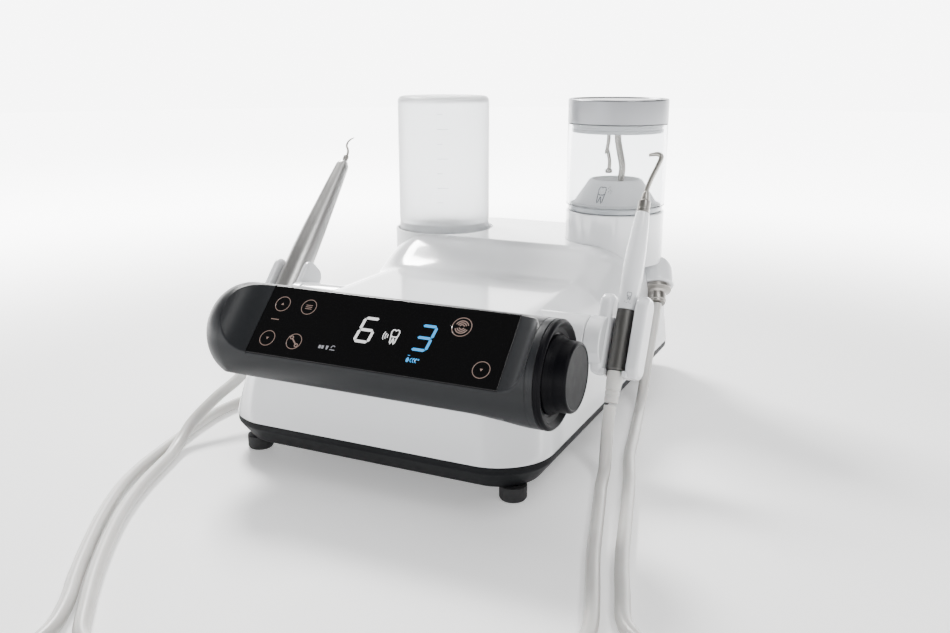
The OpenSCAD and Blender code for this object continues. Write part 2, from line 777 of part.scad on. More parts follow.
module port_outline(more) {
    translate([0, 0, -14]) cylinder(r = port_radius + more, h = 14 + more);
    translate([0, 0, -14]) sphere(port_radius + more);
}

module port() {
    color("#eef1f3") difference() {
        at_port() difference() {
            port_outline(0);
            translate([0, 0, -sleeve_depth]) cylinder(r = sleeve_radius + 0.6, h = 20);
        }
        children();
    }
}
module connector() {
    color("#8d8a84") at_port() {
        translate([0, 0, -sleeve_depth]) cylinder(r = sleeve_radius, h = sleeve_depth + 4);
        translate([0, 0, 4]) cylinder(r1 = sleeve_radius, r2 = tip_radius, h = 4);
        translate([0, 0, 8]) cylinder(r = tip_radius, h = connector_length - 8);
    }
}
module port_right() { port() at_chamber() translate([0, 0, dock_floor]) cylinder(r = chamber_radius + 0.1, h = far); }
module port_left() { mirror_left() port() mirror_left() at_bottle() dock_body(0.1, far); }
module connector_right() { connector(); }
module connector_left() { mirror_left() connector(); }

// ---------- scaler handpiece ----------

module scaler_tail() {
    color("#f4f6f8") at_scaler() {
        cylinder(r1 = scaler_diameter / 2 - 1.5, r2 = scaler_diameter / 2 - 0.3, h = 3);
        translate([0, 0, 3]) cylinder(r = scaler_diameter / 2 - 0.3, h = 9);
    }
}
module scaler_sleeve() {
    r = scaler_diameter / 2;
    color("#bfc1c4") at_scaler() {
        translate([0, 0, 12]) cylinder(r = r, h = 43);
        translate([0, 0, 55]) cylinder(r1 = r, r2 = 0.76 * r, h = 0.35 * scaler_length);
        translate([0, 0, 55 + 0.35 * scaler_length]) cylinder(r1 = 0.76 * r, r2 = 0.5 * r, h = 0.65 * scaler_length - 59);
    }
}
module scaler_nose() {
    r = scaler_diameter / 4;
    color("#d9dbdd") at_scaler() translate([0, 0, scaler_length - 4]) {
        cylinder(r1 = r, r2 = 0.62 * r, h = 4);
        translate([0, 0, 4]) cylinder(r = 1.6, h = 2);
    }
}
module scaler_tip() {
    color("#e6e2da") at_scaler() translate([0, 0, scaler_length + 2]) {
        cylinder(r = 2.5, h = 4, $fn = 6);
        swept([[0, 0, 4], [0, 0, 7], [1.5, 0, 11], [4.5, 0, 15], [4.5, 0, 20], [0.5, 0, 24]], 0.9, 10, 3);
    }
}

// ---------- polisher handpiece ----------

module polisher_grip() {
    r = polisher_diameter / 2;
    color("#6e6f70") at_polisher() {
        cylinder(r1 = r - 0.8, r2 = r, h = 1.5);
        translate([0, 0, 1.5]) cylinder(r = r, h = 41.5);
    }
}
module polisher_barrel() {
    r = polisher_diameter / 2;
    top = polisher_length - 9;
    color("#f4f6f8") at_polisher() {
        translate([0, 0, 43]) cylinder(r1 = r + 0.2, r2 = r + 0.6, h = 11.5);
        translate([0, 0, 54.5]) cylinder(r1 = r + 0.6, r2 = r + 1.2, h = 10);
        translate([0, 0, 64.5]) cylinder(r1 = r + 1.2, r2 = 0.74 * r, h = top - 64.5);
    }
}
module polisher_collar() {
    color("#8c887f") at_polisher() translate([0, 0, polisher_length - 9]) difference() {
        cylinder(r1 = 4.5, r2 = 3.9, h = 9);
        translate([0, 0, 3]) cylinder(r = nozzle_stem + running, h = 10);
    }
}
module polisher_nozzle() {
    color("#a09c93") at_polisher() translate([0, 0, polisher_length + gap]) {
        cylinder(r1 = 3, r2 = 2.1, h = 5);
        translate([0, 0, -5]) cylinder(r = nozzle_stem, h = 6);
        swept([[0, 0, 5], [0.4, 0, 9], [2, 0, 16], [4.6, 0, 24], [6.3, 0, 30.5], [5.6, 0, 33], [1.5, 0, 34.3], [-3, 0, 33]], 1.7, 10, 3);
    }
}

// ---------- hoses ----------

module boot() {
    color("#d7dadd") {
        translate([0, 0, -8]) cylinder(r = boot_radius, h = 8);
        translate([0, 0, -boot_length]) cylinder(r1 = hose_radius + 0.3, r2 = boot_radius, h = boot_length - 8);
    }
}
module boot_left() { at_scaler() boot(); }
module boot_right() { at_polisher() boot(); }

module coil(at) {
    color("#e4e6e8") translate([at[0], at[1], 0]) rotate_extrude() translate([coil_inner, 0]) square([coil_outer - coil_inner, coil_height]);
}
module hose_left() {
    color("#e4e6e8") {
        swept(hose_left_in, hose_radius, 8, 1);
        swept(hose_left_out, hose_radius, 8, 1);
    }
}
module hose_right() {
    color("#e4e6e8") {
        swept(hose_right_in, hose_radius, 8, 1);
        swept(hose_right_out, hose_radius, 8, 1);
    }
}
module coil_left() { coil(coil_left_at); }
module coil_right() { coil(coil_right_at); }

base_pan();
foot_pads();
foot_screws();
cover_shell();
rear_panel();
rear_screws();
power_inlet();
power_rocker();
control_socket();
air_inlet();
water_inlet();
drum_shell();
dial_bezel();
display_glass();
display_board();
dial_encoder();
dial_knob();
main_board();
board_parts();
heat_sink();
transformer();
water_pump();
valve_block();
air_regulator();
water_line();
air_line();
bottle_dock();
bottle_cap();
water_bottle();
chamber_dock();
dock_seal();
chamber_foot();
powder_cone();
chamber_wall();
lid_plug();
air_tube();
powder_tube();
cap_ring();
pivot_boss_left();
pivot_boss_right();
holder_left();
holder_right();
port_left();
port_right();
connector_left();
connector_right();
scaler_tail();
scaler_sleeve();
scaler_nose();
scaler_tip();
polisher_grip();
polisher_barrel();
polisher_collar();
polisher_nozzle();
boot_left();
boot_right();
hose_left();
coil_left();
hose_right();
coil_right();
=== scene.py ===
"""Ultrasonic scaler with a powder polishing line: surfaces, finishes, hoses, floor, light and camera."""
import json
import math
from contextlib import contextmanager

import bpy
from bpy.props import FloatProperty, FloatVectorProperty, IntProperty, PointerProperty
from bpy.types import Operator, Panel, PropertyGroup
from mathutils import Matrix, Vector


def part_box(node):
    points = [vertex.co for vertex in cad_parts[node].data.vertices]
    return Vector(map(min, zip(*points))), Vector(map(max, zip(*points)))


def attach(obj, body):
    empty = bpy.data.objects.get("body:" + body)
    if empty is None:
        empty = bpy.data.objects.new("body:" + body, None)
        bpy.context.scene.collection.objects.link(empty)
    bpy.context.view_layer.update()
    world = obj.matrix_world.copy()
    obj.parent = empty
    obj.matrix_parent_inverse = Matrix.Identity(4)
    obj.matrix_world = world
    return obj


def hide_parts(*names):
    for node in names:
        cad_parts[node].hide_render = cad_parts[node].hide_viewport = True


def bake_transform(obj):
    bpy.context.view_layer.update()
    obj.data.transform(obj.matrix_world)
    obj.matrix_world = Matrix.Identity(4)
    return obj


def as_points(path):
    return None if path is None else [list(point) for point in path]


bl_info = {
    "name": "Ultrasonic scaler",
    "version": (1, 0, 0),
    "blender": (4, 5, 0),
    "location": "View3D > Sidebar > Scaler",
    "description": "Builds the case, control drum, vessels, handpieces and hoses of a table-top scaler",
    "category": "Object",
}

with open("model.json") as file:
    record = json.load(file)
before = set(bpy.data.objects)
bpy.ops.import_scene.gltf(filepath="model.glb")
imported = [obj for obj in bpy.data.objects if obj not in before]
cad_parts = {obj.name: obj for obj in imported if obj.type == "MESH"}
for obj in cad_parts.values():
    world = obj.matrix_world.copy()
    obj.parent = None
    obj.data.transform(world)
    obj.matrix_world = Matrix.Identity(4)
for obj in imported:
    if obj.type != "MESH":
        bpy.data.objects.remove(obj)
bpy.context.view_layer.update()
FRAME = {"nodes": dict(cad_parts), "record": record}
MM = 0.001


def span(node):
    """Lowest and highest corner of a CAD node, in millimetres."""
    low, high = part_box(node)
    return Vector(low) / MM, Vector(high) / MM


COVER_LOW, COVER_HIGH = span("cover_shell")
DRUM_LOW, DRUM_HIGH = span("drum_shell")
DIAL_LOW, DIAL_HIGH = span("dial_knob")
BOTTLE_LOW, BOTTLE_HIGH = span("water_bottle")
WALL_LOW, WALL_HIGH = span("chamber_wall")

# the case, from the frame's own boxes
HALF_WIDTH = COVER_HIGH.x
REAR = COVER_HIGH.y
PANEL_FOOT = COVER_LOW.y
BASE_TOP = COVER_LOW.z
TOWER_TOP = COVER_HIGH.z
DRUM_RADIUS = (DRUM_HIGH.y - DRUM_LOW.y) / 2
DRUM_Y = (DRUM_HIGH.y + DRUM_LOW.y) / 2
DRUM_Z = (DIAL_HIGH.z + DIAL_LOW.z) / 2
BOTTLE_X = (BOTTLE_LOW.x + BOTTLE_HIGH.x) / 2
BOTTLE_Y = (BOTTLE_LOW.y + BOTTLE_HIGH.y) / 2
BOTTLE_RADIUS = (BOTTLE_HIGH.x - BOTTLE_LOW.x) / 2
CHAMBER_X = (WALL_LOW.x + WALL_HIGH.x) / 2
CHAMBER_Y = (WALL_LOW.y + WALL_HIGH.y) / 2
CHAMBER_RADIUS = (WALL_HIGH.x - WALL_LOW.x) / 2
JOINTS = {joint["name"]: joint for joint in FRAME["record"]["behaviour"]["joints"]}
PIVOT = Vector(JOINTS["holder_right_swivel"]["pos_m"]) / MM

# hose routes along their centre lines, in millimetres
FLOOR_Z = 4.5
HOSE_DIAMETER = 8.4


def on_table(*places):
    """Points of a hose where it lies on the table."""
    return [(x, y, FLOOR_Z) for x, y in places]


LEFT_IN = [
    (-122, 116.1, 72), (-124, 100, 54), (-125, 84, 34), (-128, 62, 13),
    *on_table((-133, 33), (-143, 0), (-155, -40), (-163, -72), (-165, -102), (-161, -130), (-155, -156),
              (-149, -182), (-142, -208), (-131, -236), (-113, -268), (-93, -298), (-72, -327), (-54, -350),
              (-42, -372), (-39, -398), (-41, -418))]
LEFT_OUT = [
    (-138, -77, 53.8), (-140, -89, 43), (-143, -105, 34), (-147, -124, 26), (-149, -148, 15), (-144, -168, 7),
    *on_table((-137, -186), (-122, -226), (-106, -259), (-88, -288), (-66, -319), (-45, -345), (-26, -366))]
RIGHT_IN = [
    (122, 116.1, 72), (124, 100, 54), (125, 84, 34), (128, 62, 13),
    *on_table((133, 33), (141, -5), (150, -49), (160, -83), (169, -117), (178, -153), (187, -188), (197, -220),
              (207, -248))]
RIGHT_OUT = [
    (138, -59.2, 43.6), (138.5, -64, 33), (140, -71, 20), (143, -83, 8),
    *on_table((147, -102), (153, -124), (162, -157), (172, -193), (184, -230), (192, -258), (194, -283),
              (193, -306))]
LEFT_RISE = 6                  # the point of the way out where the hose comes to lie on the table
RIGHT_RISE = 6
COIL_LEFT = Vector((5, -440, 0))
COIL_RIGHT = Vector((240, -330, 0))
COIL_WIDE = 49
COIL_NARROW = 40.4
COIL_LAYER = 8.6
COIL_START = 171               # degrees round the coil, counted on from turn to turn
COIL_END = 1425
PEEL = [(0, 51, 13.1), (20, 54.6, 12.4), (40, 58.4, 9.5), (60, 61.5, 6.2), (78, 63.5, 4.6), (92, 65.5, 4.5),
        (103, 69.5, 4.5)]      # the strand that leaves the coil: degrees, radius, height


# ---------- sizes and colours a user would change ----------

class CaseSettings(PropertyGroup):
    shoulder: FloatProperty(name="Shoulder", description="Radius of the shoulders, in mm", default=42)
    corner: FloatProperty(name="Front corner", description="Radius of the front corners, in mm", default=38)
    deck: FloatProperty(name="Low deck", description="Height of the front deck, in mm", default=102)
    white: FloatVectorProperty(name="Cover", description="Colour of the cover", subtype="COLOR",
                               default=(0.68, 0.69, 0.705))
    pan: FloatVectorProperty(name="Base pan", description="Colour of the base pan", subtype="COLOR",
                             default=(0.004, 0.0043, 0.005))


class DrumSettings(PropertyGroup):
    flat: FloatProperty(name="Flat", description="Distance of the glass from the drum's axis, in mm",
                        default=21)
    lean: FloatProperty(name="Lean", description="Lean of the display, in degrees", default=45)
    coat: FloatVectorProperty(name="Drum", description="Colour of the drum", subtype="COLOR",
                              default=(0.012, 0.0128, 0.0142))
    cold: FloatVectorProperty(name="Water digit", description="Colour of the water digit", subtype="COLOR",
                              default=(0.05, 0.42, 0.95))


class VesselSettings(PropertyGroup):
    marks: IntProperty(name="Graduations", description="Marks up the bottle", default=7, min=0)
    cap: FloatVectorProperty(name="Cap", description="Colour of the aluminium cap", subtype="COLOR",
                             default=(0.20, 0.204, 0.213))


class ScalerSettings(PropertyGroup):
    case: PointerProperty(type=CaseSettings)
    drum: PointerProperty(type=DrumSettings)
    vessel: PointerProperty(type=VesselSettings)


def settings():
    return bpy.context.scene.scaler_settings


# ---------- shader sums ----------

class Link:
    """One output in a material's nodes, written in sums like a number."""

    def __init__(self, finish, socket):
        self.finish = finish
        self.socket = socket

    def _sum(self, operation, first, second):
        return self.finish.node("ShaderNodeMath", {"operation": operation}, {0: first, 1: second})

    def __add__(self, other):
        return self._sum("ADD", self, other)

    def __radd__(self, other):
        return self._sum("ADD", other, self)

    def __sub__(self, other):
        return self._sum("SUBTRACT", self, other)

    def __rsub__(self, other):
        return self._sum("SUBTRACT", other, self)

    def __mul__(self, other):
        return self._sum("MULTIPLY", self, other)

    def __rmul__(self, other):
        return self._sum("MULTIPLY", other, self)

    def __truediv__(self, other):
        return self._sum("DIVIDE", self, other)

    def __pow__(self, other):
        return self._sum("POWER", self, other)


class Finish:
    """A material with one Principled shader; plain numbers go on its own sockets."""

    def __init__(self, name, **sockets):
        self.material = bpy.data.materials.new(name)
        self.material.use_nodes = True
        self.tree = self.material.node_tree
        self.shader = self.tree.nodes["Principled BSDF"]
        for key, value in sockets.items():
            label = key.replace("_", " ").title().replace("Ior", "IOR")
            socket = self.shader.inputs[label]
            if hasattr(value, "__len__") and len(value) == 3 and len(socket.default_value) == 4:
                value = (*value, 1)
            socket.default_value = value

    def node(self, kind, choices=None, inputs=None, output=0):
        made = self.tree.nodes.new(kind)
        for key, value in (choices or {}).items():
            if key == "stops":
                ramp = made.color_ramp
                for place, colour in value[2:]:
                    ramp.elements.new(place).color = colour
                for element, (place, colour) in zip(ramp.elements, sorted(value)):
                    element.position, element.color = place, colour
            else:
                setattr(made, key, value)
        for key, value in (inputs or {}).items():
            if isinstance(value, Link):
                self.tree.links.new(value.socket, made.inputs[key])
            else:
                made.inputs[key].default_value = value
        return Link(self, made.outputs[output])

    def place(self, scale=(1, 1, 1), middle=(0, 0, 0)):
        """Object coordinates in metres, centred on middle and stretched by scale."""
        raw = self.node("ShaderNodeTexCoord", output="Object")
        moved = self.node("ShaderNodeVectorMath", {"operation": "SUBTRACT"}, {0: raw, 1: middle})
        return self.node("ShaderNodeVectorMath", {"operation": "MULTIPLY"}, {0: moved, 1: scale})

    def noise(self, scale, detail=3.0, rough=0.5, at=None):
        vector = at or self.place()
        return self.node("ShaderNodeTexNoise", {}, {"Vector": vector, "Scale": scale, "Detail": detail,
                                                    "Roughness": rough})

    def split(self, vector, axis):
        return self.node("ShaderNodeSeparateXYZ", {}, {0: vector}, output=axis)

    def mix(self, factor, first, second):
        return self.node("ShaderNodeMix", {"data_type": "RGBA"},
                         {0: factor, 6: self.colour(first), 7: self.colour(second)}, output=2)

    def colour(self, value):
        return value if isinstance(value, Link) else (*value[:3], 1)

    def feed(self, socket, link):
        self.tree.links.new(link.socket, self.shader.inputs[socket])

    def bump(self, height, strength, distance):
        normal = self.node("ShaderNodeBump", {}, {"Height": height, "Strength": strength, "Distance": distance})
        self.feed("Normal", normal)


FINISHES = {}


def finish_of(maker, *values):
    """Each finish is made once."""
    key = (maker.__name__, *(tuple(value) if hasattr(value, "__len__") else value for value in values))
    if key not in FINISHES:
        FINISHES[key] = maker(*values).material
    return FINISHES[key]


# ---------- finishes ----------

def gloss_white(tone=(0.83, 0.84, 0.85)):
    """Glossy white moulding: faint orange peel and a very slight cloudiness."""
    made = Finish("gloss_white", base_color=tone, roughness=0.16, coat_weight=0.6, coat_roughness=0.05,
                  subsurface_weight=0.0)
    cloud = made.noise(14, 2)
    made.feed("Base Color", made.mix(cloud, [0.975 * part for part in tone],
                                     [min(1.02 * part, 1) for part in tone]))
    made.feed("Roughness", 0.13 + 0.07 * made.noise(60, 3))
    made.bump(made.noise(900, 2), 0.05, 0.00004)
    return made


def satin_white(tone=(0.72, 0.73, 0.74)):
    """White moulding with a fine eroded grain."""
    made = Finish("satin_white", base_color=tone, roughness=0.38)
    made.feed("Roughness", 0.33 + 0.12 * made.noise(300, 3))
    made.bump(made.noise(2600, 2), 0.16, 0.00005)
    return made


def black_grain(tone=(0.005, 0.0055, 0.0065)):
    """Black moulding with a leathery tool grain and slightly worn, greyer patches."""
    made = Finish("black_grain", base_color=tone, roughness=0.5, specular_ior_level=0.12)
    wear = made.noise(35, 4)
    made.feed("Base Color", made.mix(wear, tone, [2.2 * part for part in tone]))
    made.feed("Roughness", 0.42 + 0.2 * made.noise(120, 3))
    cells = made.node("ShaderNodeTexVoronoi", {}, {"Vector": made.place(), "Scale": 1500.0})
    made.bump(cells, 0.25, 0.00006)
    return made


def foot_rubber():
    made = Finish("foot_rubber", base_color=(0.012, 0.012, 0.013), roughness=0.75)
    made.feed("Roughness", 0.65 + 0.25 * made.noise(200, 3))
    made.bump(made.noise(1400, 4), 0.35, 0.0001)
    return made


def charcoal_coat(tone):
    """Charcoal soft-touch coating: satin, with fine metallic flake in it."""
    made = Finish("charcoal_coat", base_color=tone, roughness=0.36, specular_ior_level=0.16)
    flake = made.noise(5200, 2)
    made.feed("Base Color", made.mix(flake, [0.75 * part for part in tone], [1.5 * part for part in tone]))
    made.feed("Roughness", 0.30 + 0.12 * made.noise(700, 3))
    made.bump(made.noise(3800, 2), 0.10, 0.00004)
    return made


def piano_black():
    made = Finish("piano_black", base_color=(0.008, 0.008, 0.010), roughness=0.14, coat_weight=0.6,
                  coat_roughness=0.05)
    made.feed("Roughness", 0.11 + 0.08 * made.noise(90, 4))
    made.bump(made.noise(500, 2), 0.05, 0.00003)
    return made


def dial_black():
    """Black dial: satin face, fine turning rings."""
    made = Finish("dial_black", base_color=(0.003, 0.003, 0.004), roughness=0.4, specular_ior_level=0.05)
    made.feed("Roughness", 0.34 + 0.12 * made.noise(160, 3))
    made.bump(made.noise(2500, 2), 0.12, 0.00004)
    return made


def cover_glass():
    """Black printed glass of the display: a mirror-like face with faint smears."""
    made = Finish("cover_glass", base_color=(0.001, 0.001, 0.0012), roughness=0.05,
                  specular_ior_level=0.35)
    made.feed("Roughness", 0.05 + 0.05 * made.noise(40, 5))
    return made


def lit(name, colour, power):
    """Light shining through the glass, a little uneven like a real segment."""
    made = Finish(name, base_color=(0, 0, 0), roughness=0.3, emission_strength=power)
    made.feed("Emission Color", made.mix(made.noise(260, 2), [0.86 * part for part in colour], colour))
    return made


def digit_white():
    return lit("digit_white", (1.0, 1.0, 1.0), 1.5)


def digit_blue(tone):
    return lit("digit_blue", tone, 1.6)


def key_print():
    return lit("key_print", (0.62, 0.43, 0.37), 0.62)


def dim_print():
    return lit("dim_print", (0.60, 0.60, 0.66), 0.8)


def turned_aluminium(middle, tone=(0.15, 0.153, 0.16)):
    """Aluminium with fine turning lines round the upright axis through middle."""
    made = Finish("turned_aluminium", base_color=tone, metallic=1.0, roughness=0.3)
    at = made.place(middle=middle)
    across = made.split(at, 0)
    deep = made.split(at, 1)
    height = made.split(at, 2)
    radius = (across * across + deep * deep) ** 0.5
    lines = made.node("ShaderNodeCombineXYZ", {}, {0: radius * 900.0, 1: height * 3000.0, 2: 0.0})
    brushed = made.noise(1.0, 3, 0.6, lines)
    made.feed("Roughness", 0.24 + 0.2 * brushed)
    made.feed("Base Color", made.mix(brushed, [0.86 * part for part in tone], tone))
    made.bump(brushed, 0.12, 0.00003)
    return made


def drawn_metal(name, tone, rough):
    """Metal with long fine scratches, seen as soft uneven shine."""
    made = Finish(name, base_color=tone, metallic=1.0, roughness=rough)
    fine = made.noise(1700, 3, 0.6)
    broad = made.noise(90, 3)
    made.feed("Roughness", rough - 0.06 + 0.08 * fine + 0.06 * broad)
    made.feed("Base Color", made.mix(broad, [0.88 * part for part in tone], tone))
    made.bump(fine, 0.10, 0.00003)
    return made


def satin_sleeve():
    return drawn_metal("satin_sleeve", (0.44, 0.435, 0.425), 0.36)


def dark_grip():
    return drawn_metal("dark_grip", (0.14, 0.138, 0.132), 0.42)


def nickel():
    return drawn_metal("nickel", (0.33, 0.315, 0.295), 0.32)


def steel():
    return drawn_metal("steel", (0.36, 0.345, 0.32), 0.36)


def brass():
    return drawn_metal("brass", (0.62, 0.45, 0.20), 0.26)


def clear_plastic():
    """Clear moulding of the powder chamber: thin, faintly grey, soft wipe marks."""
    made = Finish("clear_plastic", base_color=(0.76, 0.77, 0.78), roughness=0.04, transmission_weight=1.0,
                  ior=1.12)
    made.feed("Roughness", 0.02 + 0.05 * made.noise(30, 5))
    return made


def frosted_plastic():
    """Milky blown bottle: light shines through, uneven wall."""
    made = Finish("frosted_plastic", base_color=(0.90, 0.91, 0.92), roughness=0.32, transmission_weight=0.8,
                  ior=1.2)
    made.feed("Roughness", 0.26 + 0.14 * made.noise(22, 4))
    made.feed("Base Color", made.mix(made.noise(16, 3), (0.86, 0.875, 0.885), (0.95, 0.955, 0.96)))
    made.bump(made.noise(45, 3), 0.12, 0.0006)
    return made


def smoke_ring():
    made = Finish("smoke_ring", base_color=(0.34, 0.36, 0.38), roughness=0.2, coat_weight=0.4,
                  coat_roughness=0.08)
    made.feed("Roughness", 0.16 + 0.1 * made.noise(80, 3))
    return made


def grey_print():
    made = Finish("grey_print", base_color=(0.12, 0.13, 0.145), roughness=0.5)
    made.feed("Roughness", 0.45 + 0.15 * made.noise(400, 3))
    return made


def bottle_print():
    made = Finish("bottle_print", base_color=(0.62, 0.64, 0.66), roughness=0.45)
    made.feed("Roughness", 0.4 + 0.15 * made.noise(400, 3))
    return made


def silicone():
    """Pale grey silicone hose: soft sheen, faint mottling and fine dust."""
    made = Finish("silicone", base_color=(0.54, 0.53, 0.505), roughness=0.36, coat_weight=0.2,
                  coat_roughness=0.3, subsurface_weight=0.05, subsurface_scale=0.004)
    cloud = made.noise(70, 4)
    made.feed("Base Color", made.mix(cloud, (0.49, 0.48, 0.455), (0.58, 0.57, 0.55)))
    made.feed("Roughness", 0.30 + 0.16 * made.noise(260, 3))
    made.bump(made.noise(1200, 2), 0.06, 0.00005)
    return made


def circuit_green():
    made = Finish("circuit_green", base_color=(0.02, 0.12, 0.06), roughness=0.35)
    tracks = made.node("ShaderNodeTexBrick", {}, {
        "Vector": made.place(), "Scale": 260.0, "Color1": (0.015, 0.11, 0.05, 1),
        "Color2": (0.02, 0.15, 0.07, 1), "Mortar": (0.05, 0.22, 0.10, 1)})
    made.feed("Base Color", tracks)
    made.feed("Roughness", 0.28 + 0.15 * made.noise(200, 3))
    return made


def tinted(name, tone, rough=0.4):
    made = Finish(name, base_color=tone, roughness=rough)
    cloud = made.noise(90, 3)
    made.feed("Base Color", made.mix(cloud, [0.85 * part for part in tone], tone))
    made.feed("Roughness", rough - 0.06 + 0.14 * made.noise(250, 3))
    made.bump(made.noise(1800, 2), 0.1, 0.00004)
    return made


def cap_blue():
    return tinted("cap_blue", (0.03, 0.20, 0.52), 0.28)


def tube_blue():
    return tinted("tube_blue", (0.16, 0.36, 0.60), 0.3)


def winding():
    return tinted("winding", (0.22, 0.10, 0.05), 0.5)


def dark_part():
    return tinted("dark_part", (0.03, 0.032, 0.035), 0.5)


def painted_glow_floor():
    """White sweep: plain under the unit, with a painted glow further out like a light table, so the floor is
    painted brighter away from the unit and its shadow.
    """
    made = Finish("painted_glow_floor", base_color=(0.93, 0.93, 0.93), roughness=0.6, emission_strength=7.0)
    at = made.place(middle=(0.05, -0.05, 0.0))
    across, deep = made.split(at, 0), made.split(at, 1)
    away = (across * across + deep * deep) ** 0.5
    # painted glow: the floor's emission rises from faint near the unit to full further out
    glow = made.node("ShaderNodeMapRange", {"interpolation_type": "SMOOTHSTEP"},
                     {"Value": away, "From Min": 0.40, "From Max": 1.3, "To Min": 0.05, "To Max": 1.0})
    made.feed("Emission Color", made.mix(glow, (0, 0, 0), (1, 1, 1)))
    made.feed("Roughness", 0.55 + 0.1 * made.noise(30, 2))
    return made


# ---------- shaping ----------

def clear_selection():
    if bpy.context.mode != "OBJECT":
        bpy.ops.object.mode_set(mode="OBJECT")
    bpy.ops.object.select_all(action="DESELECT")


def pick(piece):
    clear_selection()
    piece.select_set(True)
    bpy.context.view_layer.objects.active = piece
    return piece


def named(name):
    piece = bpy.context.active_object
    piece.name = name
    piece.data.name = name
    return piece


def apply_modifier(piece, kind, **choices):
    """Adds a modifier, sets it and applies it."""
    pick(piece)
    made = piece.modifiers.new(kind.lower(), kind)
    for key, value in choices.items():
        setattr(made, key, value)
    bpy.ops.object.modifier_apply(modifier=made.name)
    return piece


def smooth(piece, angle=35):
    pick(piece)
    bpy.ops.object.shade_smooth_by_angle(angle=math.radians(angle))
    return piece


@contextmanager
def edited(piece):
    """Edit mode with all of the piece selected, left again at the end."""
    pick(piece)
    bpy.ops.object.mode_set(mode="EDIT")
    bpy.ops.mesh.select_all(action="SELECT")
    yield
    bpy.ops.object.mode_set(mode="OBJECT")


def outward(piece):
    """Merges doubles and turns every face outwards."""
    with edited(piece):
        bpy.ops.mesh.remove_doubles(threshold=1e-6)
        bpy.ops.mesh.normals_make_consistent(inside=False)
    return piece


def softened(piece, width, segments=3, angle=40):
    """Rounds the edges by width millimetres."""
    return apply_modifier(piece, "BEVEL", width=width * MM, segments=segments, limit_method="ANGLE",
                          angle_limit=math.radians(angle), use_clamp_overlap=True, harden_normals=False)


def moved(piece, matrix):
    piece.data.transform(matrix)
    piece.data.update()
    return piece


def fillet(corners, steps=6):
    """Profile through (radius, height, rounding) corners, with the rounded ones turned into arcs."""
    out = []
    last = len(corners) - 1
    for index, (x, z, rounding) in enumerate(corners):
        here = Vector((x, z))
        if rounding <= 0 or index in (0, last):
            out.append((x, z))
            continue
        back = Vector(corners[index - 1][:2]) - here
        ahead = Vector(corners[index + 1][:2]) - here
        turn = back.angle(ahead)
        reach = min(rounding / math.tan(turn / 2), 0.49 * back.length, 0.49 * ahead.length)
        radius = reach * math.tan(turn / 2)
        centre = here + (back.normalized() + ahead.normalized()).normalized() * radius / math.sin(turn / 2)
        first = here + back.normalized() * reach - centre
        sweep = first.angle_signed(here + ahead.normalized() * reach - centre)
        for step in range(steps + 1):
            point = centre + Matrix.Rotation(-sweep * step / steps, 2) @ first
            out.append((point.x, point.y))
    return out


def turned(name, corners, frame=None, around=96, steps=6):
    """A turned piece: a rounded profile drawn edge by edge and spun once round the upright axis.
    It is shut on the axis, or closed on itself where its last corner is its first."""
    profile = fillet(corners, steps)
    closed = profile[0] == profile[-1]
    if closed:
        profile = profile[:-1]
    count = len(profile)
    edges = [(index, (index + 1) % count) for index in range(count if closed else count - 1)]
    piece = shaped(name, [(x, 0, z) for x, z in profile], [], edges)
    with edited(piece):
        bpy.ops.mesh.spin(steps=around, angle=math.tau, center=(0, 0, 0), axis=(0, 0, 1))
    outward(piece)
    if frame is not None:
        moved(piece, frame)
    return piece


def shaped(name, points, faces, edges=()):
    """A mesh from points in millimetres."""
    data = bpy.data.meshes.new(name)
    data.from_pydata([tuple(Vector(point) * MM) for point in points], list(edges), faces)
    piece = bpy.data.objects.new(name, data)
    bpy.context.scene.collection.objects.link(piece)
    return piece


def prism(name, outline, low, high):
    """A flat outline in millimetres, filled and drawn up from low to high."""
    piece = shaped(name, [(x, y, low) for x, y in outline], [list(range(len(outline)))])
    with edited(piece):
        bpy.ops.mesh.extrude_region_move(TRANSFORM_OT_translate={"value": (0, 0, (high - low) * MM)})
    return outward(piece)


def block(name, low, high):
    """A block between two corners in millimetres."""
    low, high = Vector(low), Vector(high)
    clear_selection()
    bpy.ops.mesh.primitive_cube_add(size=1, location=(low + high) / 2 * MM, scale=(high - low) * MM)
    piece = named(name)
    bpy.ops.object.transform_apply(location=True, rotation=True, scale=True)
    return piece


def rod(name, radius, start, end, around=96):
    """A plain cylinder between two points in millimetres, used to cut with."""
    start, end = Vector(start), Vector(end)
    clear_selection()
    bpy.ops.mesh.primitive_cylinder_add(vertices=around, radius=radius * MM, depth=(end - start).length * MM)
    piece = named(name)
    turn = Vector((0, 0, 1)).rotation_difference(end - start).to_matrix().to_4x4()
    return moved(piece, Matrix.Translation((start + end) / 2 * MM) @ turn)


def cut(piece, *cutters):
    """Takes the cutters out of a piece."""
    for cutter in cutters:
        apply_modifier(piece, "BOOLEAN", operation="DIFFERENCE", object=cutter, solver="EXACT")
        bpy.data.objects.remove(cutter, do_unlink=True)
    return piece


def joined(name, *parts):
    pick(parts[0])
    for part in parts[1:]:
        part.select_set(True)
    bpy.ops.object.join()
    return named(name)


def copied_node(name, node):
    """A merged copy of a CAD node's mesh, its flat faces made whole again."""
    source = FRAME["nodes"][node]
    data = source.data.copy()
    data.transform(source.matrix_world)
    piece = bpy.data.objects.new(name, data)
    bpy.context.scene.collection.objects.link(piece)
    with edited(piece):
        bpy.ops.mesh.remove_doubles(threshold=2e-6)
        bpy.ops.mesh.dissolve_limited(angle_limit=math.radians(0.5))
    return piece


def done(piece, body, finish, node=None, angle=35):
    """Gives a piece its finish and its body, and hides the node that it stands for."""
    smooth(piece, angle)
    piece.data.materials.clear()
    piece.data.materials.append(finish)
    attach(piece, body)
    if node:
        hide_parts(*([node] if isinstance(node, str) else node))
    return piece


